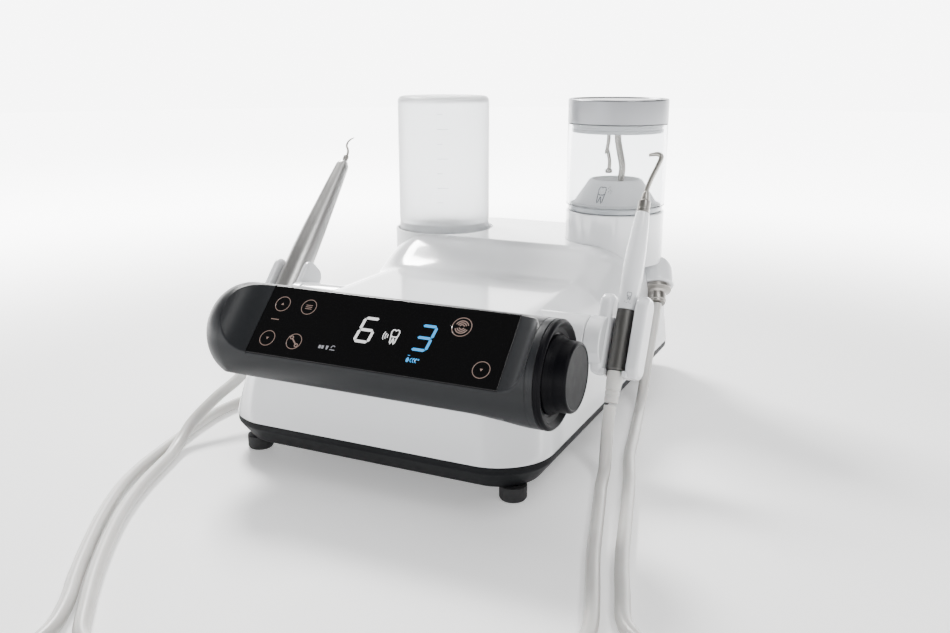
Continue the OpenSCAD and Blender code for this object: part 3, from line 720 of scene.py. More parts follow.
def axis_frame(origin, towards):
    """Puts local +Z along towards, from origin in millimetres."""
    turn = Vector((0, 0, 1)).rotation_difference(Vector(towards)).to_matrix().to_4x4()
    return Matrix.Translation(Vector(origin) * MM) @ turn


def along_x(x=0.0, y=DRUM_Y, z=DRUM_Z):
    return axis_frame((x, y, z), (1, 0, 0))


def display_frame(lean):
    """X along the glass, Y up its slope, Z out of it, from the drum's axis."""
    return Matrix.Translation(Vector((0, DRUM_Y, DRUM_Z)) * MM) @ Matrix.Rotation(math.radians(lean), 4, "X")


def lofted(name, rings, caps=(True, True), around=True):
    """Skins rings of equal count, in millimetres; the ends are closed where caps say so."""
    count = len(rings[0])
    points = [point for ring in rings for point in ring]
    faces = []
    for row in range(len(rings) - 1):
        for index in range(count if around else count - 1):
            after = (index + 1) % count
            faces.append((row * count + index, row * count + after, (row + 1) * count + after,
                          (row + 1) * count + index))
    if caps[0]:
        faces.append(list(range(count))[::-1])
    if caps[1]:
        faces.append([(len(rings) - 1) * count + index for index in range(count)])
    return outward(shaped(name, points, faces))


def eased(value, low, high):
    """From 0 at low to 1 at high, level at both ends."""
    part = min(max((value - low) / (high - low), 0), 1)
    return part * part * (3 - 2 * part)


def curve_through(points, steps):
    """A smooth run of points through the given ones."""
    points = [Vector(point) for point in points]
    out = []
    for index in range(len(points) - 1):
        a, b, c, d = (points[max(index - 1, 0)], points[index], points[index + 1],
                      points[min(index + 2, len(points) - 1)])
        for step in range(steps):
            t = step / steps
            out.append(b + 0.5 * t * (c - a + t * (2 * a - 5 * b + 4 * c - d + t * (3 * (b - c) + d - a))))
    return out + [points[-1]]


def swept_rings(points, radii, around=20):
    """Rings square to a run of points, turned as little as possible from one to the next."""
    tangents = [(points[min(i + 1, len(points) - 1)] - points[max(i - 1, 0)]).normalized()
                for i in range(len(points))]
    side = Vector((0.31, 0.17, 0.93))
    rings = []
    for point, tangent, radius in zip(points, tangents, radii):
        side = (side - tangent * side.dot(tangent)).normalized()
        other = tangent.cross(side)
        rings.append([point + radius * (math.cos(a) * side + math.sin(a) * other)
                      for a in (math.tau * k / around for k in range(around))])
    return rings


def swept(name, points, radius, frame=None, around=20, steps=6, round_end=False):
    """A bent rod along points in millimetres; radius is a number or one for each given point."""
    line = curve_through(points, steps)
    given = radius if hasattr(radius, "__len__") else [radius] * len(points)
    radii = [given[min(i // steps, len(given) - 1)] * (1 - (i % steps) / steps)
             + given[min(i // steps + 1, len(given) - 1)] * (i % steps) / steps for i in range(len(line))]
    rings = swept_rings(line, radii, around)
    if round_end:
        tip, heading = line[-1], (line[-1] - line[-2]).normalized()
        for lift in (25, 50, 72):
            shrink = math.cos(math.radians(lift))
            ahead = heading * radii[-1] * math.sin(math.radians(lift))
            rings.append([tip + (point - tip) * shrink + ahead for point in rings[len(line) - 1]])
    piece = lofted(name, rings)
    return moved(piece, frame) if frame is not None else piece


# ---------- the case ----------

SIDE_LEAN = 6
REAR_CORNER = 24
RAMP = (26, 81)
PANEL_RISE = 8                 # how far the front panel leans in up to the drum
CASE_WALL = 2.5
WELL_WALL = 3.5


def deck_at(y):
    low = settings().case.deck
    return low + (TOWER_TOP - low) * eased(y, *RAMP)


def drawn_in(depth, radius):
    """How far a rounded corner draws the side in, at a depth behind the face."""
    return radius - math.sqrt(max(radius ** 2 - (radius - min(depth, radius)) ** 2, 0))


def case_ring(depth, from_front, side_steps=10, arc_steps=22, top_steps=14):
    """One outline across the case at a depth behind its front or ahead of its back."""
    look = settings().case
    drawn = drawn_in(depth, look.corner if from_front else REAR_CORNER)
    level_y = PANEL_FOOT + PANEL_RISE + depth if from_front else REAR - depth
    top = deck_at(level_y)
    spring = top - look.shoulder
    half = HALF_WIDTH - drawn
    points = [(half - 0.9, BASE_TOP), (half - 0.25, BASE_TOP + 0.25), (half, BASE_TOP + 0.9)]
    for step in range(1, side_steps + 1):
        part = step / side_steps
        points.append((half - SIDE_LEAN * part, BASE_TOP + 0.9 + (spring - BASE_TOP - 0.9) * part))
    flat = half - SIDE_LEAN - look.shoulder
    for step in range(1, arc_steps + 1):
        angle = math.pi / 2 * step / arc_steps
        points.append((flat + look.shoulder * math.cos(angle), spring + look.shoulder * math.sin(angle)))
    for step in range(1, top_steps // 2 + 1):
        points.append((flat * (1 - 2 * step / top_steps), top))
    points += [(-x, z) for x, z in points[-2::-1]]
    fade = 1 - eased(depth, look.corner, look.corner + 60) if from_front else 0
    rise = PANEL_RISE / (DRUM_Z - DRUM_RADIUS - BASE_TOP)
    return [(x, level_y - fade * max(PANEL_RISE - rise * (z - BASE_TOP), 0), z) for x, z in points]


def case_skin(name):
    """The outside of the cover, open at its foot."""
    corner = settings().case.corner
    depths = [corner * (1 - math.cos(math.pi / 2 * step / 18)) for step in range(19)]
    depths += [corner + 12 * step for step in range(1, 6)]
    start = RAMP[0] - PANEL_FOOT - PANEL_RISE
    depths += [98 + (start - 98) * step / 7 for step in range(1, 8)]
    depths += [start + (RAMP[1] - RAMP[0]) * step / 26 for step in range(1, 27)]
    rings = [case_ring(depth, True) for depth in depths]
    rings += [case_ring(REAR - y, False) for y in (96, 112, 128, 144)]
    for step in range(13, -1, -1):
        rings.append(case_ring(REAR_CORNER * (1 - math.cos(math.pi / 2 * step / 13)), False))
    count = len(rings[0])
    points = [point for ring in rings for point in ring]
    faces = [(row * count + i, row * count + i + 1, (row + 1) * count + i + 1, (row + 1) * count + i)
             for row in range(len(rings) - 1) for i in range(count - 1)]
    for base, flip in ((0, 1), ((len(rings) - 1) * count, -1)):
        for i in range(count // 2):
            corners = [base + i, base + i + 1, base + count - 2 - i, base + count - 1 - i]
            if len(set(corners)) == 4:
                faces.append(corners[::flip])
    return outward(shaped(name, points, faces))


PORT_AT = Vector((118, 126, 84))
PORT_TILT = 138.6
PORT_HEADING = 22.2


def port_frame(side):
    """Z out of a hose port's mouth."""
    frame = Matrix.Translation(PORT_AT * MM) @ Matrix.Rotation(math.radians(PORT_HEADING), 4, "Z") \
        @ Matrix.Rotation(math.radians(PORT_TILT), 4, "X")
    return frame if side > 0 else Matrix.Diagonal((-1, 1, 1, 1)) @ frame


def weighted(piece):
    """Shades large faces flat and keeps the light running smoothly over the rounds."""
    smooth(piece, 40)
    return apply_modifier(piece, "WEIGHTED_NORMAL", keep_sharp=True, weight=80)


WELL_FLOOR = 104
REAR_WAY_LOW, REAR_WAY_HIGH = (-88, 170, 34), (88, 200, 96)
DRUM_GAP = 0.3


def drum_way():
    """Room for the drum and its domed end in the cover."""
    r, e, start = DRUM_RADIUS + DRUM_GAP, DRUM_DOME + DRUM_GAP, DRUM_LEFT - DRUM_GAP
    corners = [(0, start, 0)]
    for step in range(25):
        angle = math.pi / 2 * step / 24
        corners.append((r - e + e * math.sin(angle), start + e * (1 - math.cos(angle)), 0))
    return turned("drum_way", corners + [(r, 200, 0), (0, 200, 0)], along_x(), 160)


class SCALER_OT_cover(Operator):
    """White cover with its front panel, decks, shoulders and openings"""
    bl_idname = "scaler.cover"
    bl_label = "Cover"

    def execute(self, context):
        look = settings().case
        cover = case_skin("cover")
        apply_modifier(cover, "SOLIDIFY", thickness=CASE_WALL * MM, offset=-1, use_even_offset=True)
        cut(cover,
            drum_way(),
            rod("bottle_way", BOTTLE_RADIUS + WELL_WALL, (BOTTLE_X, BOTTLE_Y, WELL_FLOOR),
                (BOTTLE_X, BOTTLE_Y, 200), 128),
            rod("chamber_way", CHAMBER_RADIUS + 0.25, (CHAMBER_X, CHAMBER_Y, 104),
                (CHAMBER_X, CHAMBER_Y, 200), 128),
            rod("vent", 1.7, (37.7, 122.8, 110), (37.7, 122.8, 130), 32),
            block("rear_way", REAR_WAY_LOW, REAR_WAY_HIGH))
        for side in (-1, 1):
            hub = (side * 82, PIVOT.y, PIVOT.z), (side * 140, PIVOT.y, PIVOT.z)
            mouth = port_frame(side)
            way = rod("port_way", 15.1, (0, 0, -14), (0, 0, 0.1), 96)
            dome = turned("port_dome", [(0, -29.1, 0), *[(15.1 * math.sin(a), -14 - 15.1 * math.cos(a), 0)
                                                         for a in (math.pi / 24 * k for k in range(1, 12))],
                                        (15.1, -13.9, 0), (0, -13.9, 0)], mouth)
            moved(way, mouth)
            outward(way)
            cut(cover, rod("hub_way", 17.1, *hub), way, dome)
        done(cover, "root", finish_of(gloss_white, look.white), "cover_shell")
        weighted(cover)
        return {"FINISHED"}


def plan_ring(inset, z, corner_steps=14):
    """The case's outline seen from above, drawn in by inset, at height z."""
    x, front, rear = HALF_WIDTH - inset, PANEL_FOOT + inset, REAR - inset
    corner = settings().case.corner
    points = []
    for cx, cy, radius, start in ((x, front, corner, -90), (x, rear, REAR_CORNER, 0),
                                  (-x, rear, REAR_CORNER, 90), (-x, front, corner, 180)):
        radius = max(radius - inset, 1)
        cx -= math.copysign(radius, cx)
        cy -= radius if cy > 0 else -radius
        for step in range(corner_steps + 1):
            angle = math.radians(start + 90 * step / corner_steps)
            points.append((cx + radius * math.cos(angle), cy + radius * math.sin(angle), z))
    return points


FOOT_X = (-99, 99)
FOOT_Y = (-134, 150)


class SCALER_OT_base(Operator):
    """Black base pan with its feet"""
    bl_idname = "scaler.base"
    bl_label = "Base pan and feet"

    def execute(self, context):
        look = settings().case
        levels = [(12.4, 10), (10.8, 10.15), (9.8, 10.8), (9.1, 11.6), (1.5, 21.6), (0.8, 22.6), (0.45, 23.6),
                  (0.4, 26.6), (0.6, 27.1), (1.1, 27.35), (3.4, 27.35), (3.4, 23), (13, 13.2)]
        pan = lofted("base_pan_moulded", [plan_ring(inset, z) for inset, z in levels])
        done(pan, "root", finish_of(black_grain, look.pan), "base_pan")
        weighted(pan)
        feet = []
        for x in FOOT_X:
            for y in FOOT_Y:
                foot = turned("foot", [(4.4, 0.6, 0), (4.4, 0, 0.3), (8, 0, 0.8), (9, 1.6, 0.8), (9, 9.9, 0.4),
                                       (4, 9.9, 0), (4, 5, 0.2), (4.4, 5, 0.2), (4.4, 0.6, 0)],
                              Matrix.Translation(Vector((x, y, 0)) * MM), 56, 4)
                feet.append(foot)
        done(joined("feet", *feet), "root", finish_of(foot_rubber), "foot_pads")
        return {"FINISHED"}


# ---------- control drum ----------

GLASS_LOW = -66.4
GLASS_HIGH = 109.6
GLASS_HALF = 25.16
LEFT_SCOOP = 26
RIGHT_SCOOP = 18
DRUM_LEFT = -110
DRUM_RIGHT = 131
DRUM_DOME = 24
UNDERSIDE = 29.6               # the drum is flattened below and grows round again at its right end


def flat_at(x, flat):
    """Distance of the drum's flat from its axis: level under the glass, scooped out at both ends."""
    if GLASS_LOW - 0.2 < x < GLASS_HIGH + 0.2:
        return flat - 0.7
    reach, scoop = (GLASS_LOW - x, LEFT_SCOOP) if x < 0 else (x - GLASS_HIGH, RIGHT_SCOOP)
    return flat + scoop - math.sqrt(max(scoop ** 2 - min(reach, scoop) ** 2, 0))


def drum_radius_at(x):
    inner = DRUM_DOME - (x - DRUM_LEFT)
    if inner > 0:
        return DRUM_RADIUS - DRUM_DOME + math.sqrt(max(DRUM_DOME ** 2 - inner ** 2, 0))
    edge = x - (DRUM_RIGHT - 0.8)
    return DRUM_RADIUS - (0.8 - math.sqrt(max(0.64 - edge ** 2, 0)) if edge > 0 else 0)


def drum_ring(x, flat, flat_steps=8, corner_steps=5, back_steps=90):
    """Outline of the drum at x in the display's frame: a flat with softened edges and the round back."""
    radius, level = drum_radius_at(x), flat_at(x, flat)
    level = min(level, radius)
    half = math.sqrt(radius ** 2 - level ** 2)
    spread = math.atan2(half, level) if half > 0 else 0
    soft = min(1.3, 0.4 * half)
    points = []
    right = [(half - soft, level), (half, level), (radius * math.sin(spread + soft / radius),
                                                   radius * math.cos(spread + soft / radius))]
    for step in range(flat_steps):
        points.append(((half - soft) * (2 * step / flat_steps - 1), level))
    for step in range(corner_steps + 1):
        t = step / corner_steps
        points.append(tuple((1 - t) ** 2 * right[0][k] + 2 * t * (1 - t) * right[1][k] + t * t * right[2][k]
                            for k in range(2)))
    start = spread + soft / radius
    for step in range(1, back_steps):
        angle = start + (math.tau - 2 * start) * step / back_steps
        points.append((radius * math.sin(angle), radius * math.cos(angle)))
    for step in range(corner_steps, 0, -1):
        t = step / corner_steps
        point = tuple((1 - t) ** 2 * right[0][k] + 2 * t * (1 - t) * right[1][k] + t * t * right[2][k]
                      for k in range(2))
        points.append((-point[0], point[1]))
    below = UNDERSIDE + (DRUM_RADIUS - UNDERSIDE) * eased(x, 96, 126)
    ring = []
    for v, w in points:
        past = max(-0.904 * v - 0.427 * w - below, 0)
        ring.append((x, v + 0.904 * past, w + 0.427 * past))
    return ring


class SCALER_OT_drum(Operator):
    """Charcoal control drum with the flat for its glass, scooped ends and domed left end"""
    bl_idname = "scaler.drum"
    bl_label = "Control drum"

    def execute(self, context):
        look = settings().drum
        frame = display_frame(look.lean)
        stations = [DRUM_LEFT + DRUM_DOME * (1 - math.cos(math.pi / 2 * step / 20)) for step in range(1, 21)]
        left_reach = math.sqrt(LEFT_SCOOP ** 2 - (LEFT_SCOOP - (DRUM_RADIUS - look.flat)) ** 2)
        right_reach = math.sqrt(RIGHT_SCOOP ** 2 - (RIGHT_SCOOP - (DRUM_RADIUS - look.flat)) ** 2)
        stations += [GLASS_LOW - left_reach * (1 - step / 26) - 0.21 * step / 26 for step in range(27)]
        stations += [GLASS_LOW - 0.19] + [GLASS_LOW + (GLASS_HIGH - GLASS_LOW) * k / 8 for k in range(1, 8)]
        stations += [GLASS_HIGH + 0.19]
        stations += [GLASS_HIGH + 0.21 + (right_reach - 0.21) * step / 22 for step in range(23)]
        stations += [DRUM_RIGHT - 2.5] + [DRUM_RIGHT - 0.8 * (1 - step / 5) for step in range(6)]
        rings = [drum_ring(x, look.flat) for x in sorted(stations)]
        drum = lofted("drum", rings)
        moved(drum, frame)
        done(drum, "root", finish_of(charcoal_coat, look.coat), "drum_shell", 38)
        weighted(drum)
        bezel = turned("drum_rim", [(26, DRUM_RIGHT, 0), (32.6, DRUM_RIGHT, 0.2), (33, DRUM_RIGHT + 0.5, 0.3),
                                    (33, 133.6, 1.2), (31.6, 135, 0.6), (30.4, 135, 0.5), (27.8, 132.4, 1),
                                    (24.6, 131.8, 0.4), (24.6, DRUM_RIGHT, 0), (26, DRUM_RIGHT, 0)],
                       along_x(), 128)
        done(bezel, "root", finish_of(dial_black), "dial_bezel")
        return {"FINISHED"}


class SCALER_OT_dial(Operator):
    """Black dial with its waist and flat face"""
    bl_idname = "scaler.dial"
    bl_label = "Dial"

    def execute(self, context):
        dial = turned("dial", [(0, 131.5, 0), (23.8, 131.5, 0.2), (23.8, 133, 1), (22.3, 135.2, 2),
                               (21.3, 138, 4), (21.1, 144.6, 1.0), (20.2, 145.9, 0.5), (19.2, 146, 0.3),
                               (18.6, 145.7, 0.4), (0, 145.6, 0)],
                      along_x(), 128)
        done(dial, "dial", finish_of(dial_black), "dial_knob", 30)
        return {"FINISHED"}


# ---------- display ----------

INK = 0.05


def ribbon(points, width, closed=False):
    """Four-cornered strips along a line of the given width."""
    points = [Vector(point) for point in points]
    count = len(points)
    sides = []
    for index, point in enumerate(points):
        back = points[index - 1] if closed or index else point
        ahead = points[(index + 1) % count] if closed or index < count - 1 else point
        heading = (ahead - back).normalized()
        sides.append(Vector((-heading.y, heading.x)) * width / 2)
    strips = []
    for index in range(count if closed else count - 1):
        after = (index + 1) % count
        strips.append([points[index] - sides[index], points[after] - sides[after], points[after] + sides[after],
                       points[index] + sides[index]])
    return strips


def arc(x, y, radius, start=0, end=360, steps=40):
    return [(x + radius * math.cos(math.radians(start + (end - start) * k / steps)),
             y + radius * math.sin(math.radians(start + (end - start) * k / steps))) for k in range(steps + 1)]


def circle(x, y, radius, width, steps=48):
    return ribbon(arc(x, y, radius, steps=steps)[:-1], width, True)


def printed(name, shapes, place, depth=INK):
    """Thin raised print: each shape is a flat outline, put on a surface by place(x, y, lift)."""
    points, faces = [], []
    for shape in shapes:
        base, count = len(points), len(shape)
        points += [place(x, y, 0.01) for x, y in shape] + [place(x, y, 0.01 + depth) for x, y in shape]
        faces += [[base + i for i in range(count)][::-1], [base + count + i for i in range(count)]]
        faces += [(base + i, base + (i + 1) % count, base + count + (i + 1) % count, base + count + i)
                  for i in range(count)]
    return outward(shaped(name, points, faces))


def segment(x, y, length, thick, upright):
    """One lit bar of a digit, pointed at both ends."""
    half, side = length / 2 - 0.25, thick / 2
    bar = [(-half, 0), (-half + side, side), (half - side, side), (half, 0), (half - side, -side),
           (-half + side, -side)]
    return [(x + v, y + u) if upright else (x + u, y + v) for u, v in bar]


BARS = {"6": "acdefg", "3": "abcdg"}


def digit(character, x, y, wide=9.6, high=16.6, thick=1.9, slant=0.13):
    """Bars of a seven-bar digit round (x, y), leaning to the right."""
    side, rise = wide / 2, high / 4
    places = {"a": (0, 2 * rise, 0), "g": (0, 0, 0), "d": (0, -2 * rise, 0), "f": (-side, rise, 1),
              "b": (side, rise, 1), "e": (-side, -rise, 1), "c": (side, -rise, 1)}
    bars = []
    for name in BARS[character]:
        bx, by, upright = places[name]
        bar = segment(bx, by, 2 * rise if upright else wide, thick, upright)
        bars.append([(x + u + slant * v, y + v) for u, v in bar])
    return bars


TOOTH = [(-0.52, 0.62), (-0.40, 0.90), (-0.18, 0.93), (0, 0.80), (0.18, 0.93), (0.40, 0.90), (0.52, 0.62),
         (0.46, 0.18), (0.38, -0.20), (0.33, -0.72), (0.22, -0.95), (0.12, -0.68), (0.06, -0.30), (0, -0.18),
         (-0.06, -0.30), (-0.12, -0.68), (-0.22, -0.95), (-0.33, -0.72), (-0.38, -0.20), (-0.46, 0.18)]


def tooth(x, y, high, width):
    """Outline of a tooth with its gum line."""
    scale = high / 1.9
    outline = [(x + scale * u, y + scale * v) for u, v in TOOTH]
    gum = [(x + scale * u, y + scale * v) for u, v in ((-0.44, 0.10), (-0.2, 0.0), (0.2, 0.0), (0.44, 0.10))]
    return ribbon(outline, width, True) + ribbon(gum, width)


def drop(x, y, high):
    """A filled water drop."""
    return [[(x + 0.30 * high * math.sin(math.radians(a)) * (1 - max(math.cos(math.radians(a)), 0) ** 3 * 0.75),
              y + 0.5 * high * math.cos(math.radians(a))) for a in range(0, 360, 20)]]


class SCALER_OT_display(Operator):
    """Black display glass with its keys, symbols and lit digits"""
    bl_idname = "scaler.display"
    bl_label = "Display"

    def execute(self, context):
        look = settings().drum
        frame = display_frame(look.lean)
        top = look.flat
        glass = block("glass", (GLASS_LOW, -GLASS_HALF, top - 2), (GLASS_HIGH, GLASS_HALF, top))
        softened(glass, 0.35, 3)
        moved(glass, frame)
        done(glass, "root", finish_of(cover_glass), "display_glass")
        weighted(glass)

        def on_glass(x, y, lift):
            return (frame @ (Vector((x, y, top + lift)) * MM)) / MM

        keys = []
        for x, y in ((-54.5, 12.2), (-34.2, 12.3), (-54.5, -13.5), (-34.0, -13.2), (96.2, -13.7)):
            keys += circle(x, y, 5.35, 0.42)
        for x, y, way in ((-54.5, 12.2, 1), (-54.5, -13.5, -1), (96.2, -13.7, -1)):
            keys.append([(x - 1.0, y - 0.75 * way), (x + 1.0, y - 0.75 * way), (x, y + 0.95 * way)])
        for offset in (-1.3, 0, 1.3):
            keys += ribbon([(-36.6, 12.3 + offset), (-31.8, 12.3 + offset)], 0.45)
        keys += ribbon([(-36.3, -11.0), (-31.7, -15.4)], 0.9)
        keys += ribbon(arc(-36.6, -10.7, 1.1, -20, 290, 14), 0.6)
        keys += ribbon(arc(-31.4, -15.7, 1.1, 160, 470, 14), 0.6)
        keys += circle(75, 12.2, 6.3, 0.5)
        for radius in (1.6, 2.9, 4.2):
            for start in (20, 200):
                keys += ribbon(arc(75, 12.2, radius, start, start + 140, 18), 0.7)
        keys += ribbon([(-58.2, 0.5), (-52.2, 0.5)], 0.55)
        done(printed("key_symbols", keys, on_glass), "root", finish_of(key_print))

        white = digit("6", 13.4, 1.7) + tooth(33.6, -0.5, 10, 0.75)
        for reach in (2.2, 3.7, 5.2):
            white += ribbon(arc(31.2, -0.5, reach, 148, 212, 10), 0.5)
        done(printed("white_digit", white, on_glass), "root", finish_of(digit_white))
        blue = digit("3", 53.6, 1.6) + drop(48.0, -14.1, 3.4)
        blue += ribbon([(47.3, -11.2), (48.7, -11.2)], 0.4)
        for offset in (0, 1.6, 3.2):
            blue += ribbon(arc(51.2 + offset, -14.1, 1.4, 100, 260, 8), 0.45)
            blue += circle(52.0 + offset, -13.2, 0.4, 0.35, 10)
        done(printed("blue_digit", blue, on_glass), "root", finish_of(digit_blue, look.cold))
        small = [[(-15, -15.2), (-13.4, -15.2), (-13.4, -13.0), (-15, -13.0)],
                 [(-12.9, -15.2), (-11.3, -15.2), (-11.3, -13.0), (-12.9, -13.0)],
                 [(-9.4, -15.4), (-8.4, -15.4), (-8.0, -12.8), (-9.8, -12.8)]]
        small += ribbon([(-6.6, -15.2), (-3.0, -15.2)], 0.5) + ribbon(arc(-4.6, -13.6, 1.3, 30, 200, 10), 0.45)
        done(printed("small_symbols", small, on_glass), "root", finish_of(dim_print))
        return {"FINISHED"}


# ---------- vessels ----------

def upright(x, y):
    return Matrix.Translation(Vector((x, y, 0)) * MM)


class SCALER_OT_bottle(Operator):
    """Frosted water bottle with its graduations, blue cap and well"""
    bl_idname = "scaler.bottle"
    bl_label = "Water bottle"

    def execute(self, context):
        look = settings().vessel
        place = upright(BOTTLE_X, BOTTLE_Y)
        r, top, neck, foot, wall = BOTTLE_RADIUS, BOTTLE_HIGH.z, 18, 112, 1.8
        bottle = turned("bottle", [
            (neck - 1, 98, 0), (neck, 98, 0.4), (neck, foot - 2, 2), (r - 1, foot + 0.5, 4), (r, foot + 8, 6),
            (r, foot + 14, 3), (r - 0.5, foot + 17, 2), (r, foot + 20, 3),
            (r, top, 5.5), (r - 9, top, 2), (r - 11, top - 0.9, 2), (0, top - 1.1, 0), (0, top - 1.1 - wall, 0),
            (r - wall, top - wall - 0.9, 4), (r - wall, foot + 4, 5), (neck - wall, foot + 1.5, 2),
            (neck - wall, 98, 0.3), (neck - 1, 98, 0)], place, 128, 6)
        done(bottle, "bottle", finish_of(frosted_plastic), "water_bottle", 40)

        def on_bottle(x, y, lift):
            angle = math.radians(-88) + x / r
            return (BOTTLE_X + (r + lift) * math.cos(angle), BOTTLE_Y + (r + lift) * math.sin(angle), y)

        marks = []
        for mark in range(look.marks):
            z = 150 + 12.5 * mark
            marks += ribbon([(12 + 1.2 * k, z) for k in range(9 if mark % 2 else 5)], 0.5)
        done(printed("bottle_marks", marks, on_bottle, 0.04), "bottle", finish_of(bottle_print))
        cap = turned("bottle_cap_moulded", [
            (0, 88, 0), (5, 88, 0.5), (5, 93.8, 0.6), (neck + 2.6, 94, 1.2), (neck + 3, 95.5, 0.5),
            (neck + 3, 108, 0.6), (neck + 0.3, 108, 0.2), (neck + 0.3, 97.6, 0.3), (0, 97.6, 0)], place, 96)
        ribs = []
        for index in range(36):
            turn = Matrix.Rotation(math.tau * index / 36, 4, "Z")
            ribs.append(softened(block("rib", (neck + 2.6, -0.7, 96.5), (neck + 3.5, 0.7, 107)), 0.3, 2))
            moved(ribs[-1], place @ turn)
        done(joined("bottle_cap_moulded", cap, *ribs), "bottle", finish_of(cap_blue), "bottle_cap")
        well = turned("bottle_well", [
            (5.4, 87.7, 0), (24.7, 87.7, 0.6), (24.7, WELL_FLOOR, 0.6), (r + 3.3, WELL_FLOOR, 1.5),
            (r + 3.3, 122.6, 0.4), (r + 1.4, 122.9, 1.0), (r + 1.0, 121.6, 0.5),
            (r + 1.0, WELL_FLOOR + 2.7, 2), (22, WELL_FLOOR + 2.7, 1), (22, 90.6, 1), (5.4, 90.6, 0.4),
            (5.4, 87.7, 0)], place, 128)
        done(well, "root", finish_of(satin_white), "bottle_dock")
        return {"FINISHED"}


COLLAR_TOP = 148
WALL_FOOT = 153
WALL_TOP = 219
CAP_TOP = 239


class SCALER_OT_chamber(Operator):
    """Powder chamber: collar, clear wall, cone, bent tubes and aluminium cap"""
    bl_idname = "scaler.chamber"
    bl_label = "Powder chamber"

    def execute(self, context):
        look = settings().vessel
        place = upright(CHAMBER_X, CHAMBER_Y)
        r = CHAMBER_RADIUS
        white = finish_of(gloss_white, settings().case.white)
        collar = turned("chamber_collar", [
            (6.2, 105, 0), (r, 105, 0.8), (r, COLLAR_TOP, 1.1), (r - 3, COLLAR_TOP, 0.6), (r - 3, 108, 1.5),
            (6.2, 108, 0.3), (6.2, 105, 0)], place, 128)
        done(collar, "root", white, "chamber_dock")
        base = turned("chamber_base", [
            (7.2, COLLAR_TOP + 0.4, 0), (r - 2.2, COLLAR_TOP + 0.4, 0.3), (r - 1.6, COLLAR_TOP + 1.1, 0.6),
            (r - 1.6, 152, 0.6), (r - 0.6, WALL_FOOT - 0.1, 0.2), (7.2, WALL_FOOT - 0.1, 0.2),
            (7.2, COLLAR_TOP + 0.4, 0)], place, 128)
        done(base, "chamber", finish_of(smoke_ring), "chamber_foot")
        cone = turned("powder_cone_moulded", [
            (7.2, WALL_FOOT + 0.1, 0), (r - 3.5, WALL_FOOT + 0.1, 0.3), (r - 3.5, WALL_FOOT + 1.3, 0.4),
            (r - 6.6, WALL_FOOT + 2.1, 1.4), (22.0, 173.2, 1.4), (20.2, 174, 0.7), (19.4, 173.4, 0.6),
            (15.6, 161, 3), (7.2, 156.5, 0.6), (7.2, WALL_FOOT + 0.1, 0)], place, 128)
        done(cone, "chamber", finish_of(satin_white, (0.92, 0.92, 0.92)), "powder_cone")
        slope = (34.4 - 22.0) / (173.2 - 155.1)

        def on_cone(x, y, lift):
            angle = math.radians(-96) + x / 28
            radius = 34.4 - slope * (y - 155.1) + lift
            return (CHAMBER_X + radius * math.cos(angle), CHAMBER_Y + radius * math.sin(angle), y + lift * 0.5)

        marks = tooth(0, 163.2, 12.5, 0.65)
        for x, y in ((5.4, 168.4), (6.9, 167.2), (5.8, 166.0), (7.4, 165.0), (8.4, 166.4), (6.4, 169.6)):
            marks += circle(x, y, 0.28, 0.3, 10)
        done(printed("cone_symbol", marks, on_cone), "chamber", finish_of(grey_print))
        wall = turned("chamber_wall_moulded", [
            (r - 1.5, WALL_FOOT, 0), (r, WALL_FOOT, 0.5), (r, WALL_TOP, 0.3), (r - 2.8, WALL_TOP, 0.3),
            (r - 2.8, WALL_FOOT, 0.4), (r - 1.5, WALL_FOOT, 0)], place, 160)
        done(wall, "chamber", finish_of(clear_plastic), "chamber_wall", 50)
        plug = turned("chamber_plug", [
            (0, WALL_TOP - 7, 0), (r - 4, WALL_TOP - 7, 0.8), (r - 3.4, WALL_TOP - 6, 0.5),
            (r - 3.4, WALL_TOP - 4.6, 0.3), (r - 4.4, WALL_TOP - 4.2, 0.3), (r - 4.4, WALL_TOP - 2.6, 0.3),
            (r - 3.4, WALL_TOP - 2.2, 0.3), (r - 3.4, WALL_TOP, 0.3), (r - 6.2, WALL_TOP, 0.3),
            (r - 6.2, WALL_TOP + 12.6, 0.6), (0, WALL_TOP + 12.6, 0)],
            place, 128)
        done(plug, "lid", finish_of(satin_white), "lid_plug")
        low = WALL_TOP - 7
        metal = finish_of(steel)
        thin = [(-8, 2, low + 0.5), (-8, 2, low - 8), (-9.5, 2, low - 18), (-8.5, 2, 196), (-6.5, 2, 187),
                (-7, 2, 181)]
        air = swept("air_pipe", thin, 1.6, place, 20, 8)
        knob = turned("pipe_nut", [(0, 177.8, 0), (2.4, 177.8, 0.5), (3.1, 178.6, 0.6), (3.1, 180.4, 0.6),
                                   (2.2, 181.3, 0.4), (0, 181.3, 0)], place @ upright(-7, 2), 40)
        done(joined("air_pipe", air, knob), "lid", metal, "air_tube", 50)
        thick = [(1, -1, low + 0.5), (1, -1, low - 6), (2.5, -1, low - 14), (5.5, -1, low - 28), (4.8, -1, 175),
                 (4, -1, 163)]
        done(swept("powder_pipe", thick, 2.8, place, 24, 8), "lid", metal, "powder_tube", 50)
        cap = turned("chamber_cap", [
            (r - 3, WALL_TOP + 0.3, 0), (r - 0.6, WALL_TOP + 0.3, 0.4), (r, WALL_TOP + 0.9, 0.5),
            (r, CAP_TOP - 0.8, 0.9), (r - 0.8, CAP_TOP, 0.5), (r - 2.6, CAP_TOP, 0.5),
            (r - 3.4, CAP_TOP - 1.0, 0.5), (0, CAP_TOP - 1.2, 0), (0, CAP_TOP - 3, 0),
            (r - 5.8, CAP_TOP - 3, 0.6), (r - 5.8, WALL_TOP + 0.4, 0.2), (r - 3, WALL_TOP + 0.3, 0)],
            place, 160)
        done(cap, "cap", finish_of(turned_aluminium, (CHAMBER_X * MM, CHAMBER_Y * MM, 0), look.cap), "cap_ring")
        return {"FINISHED"}


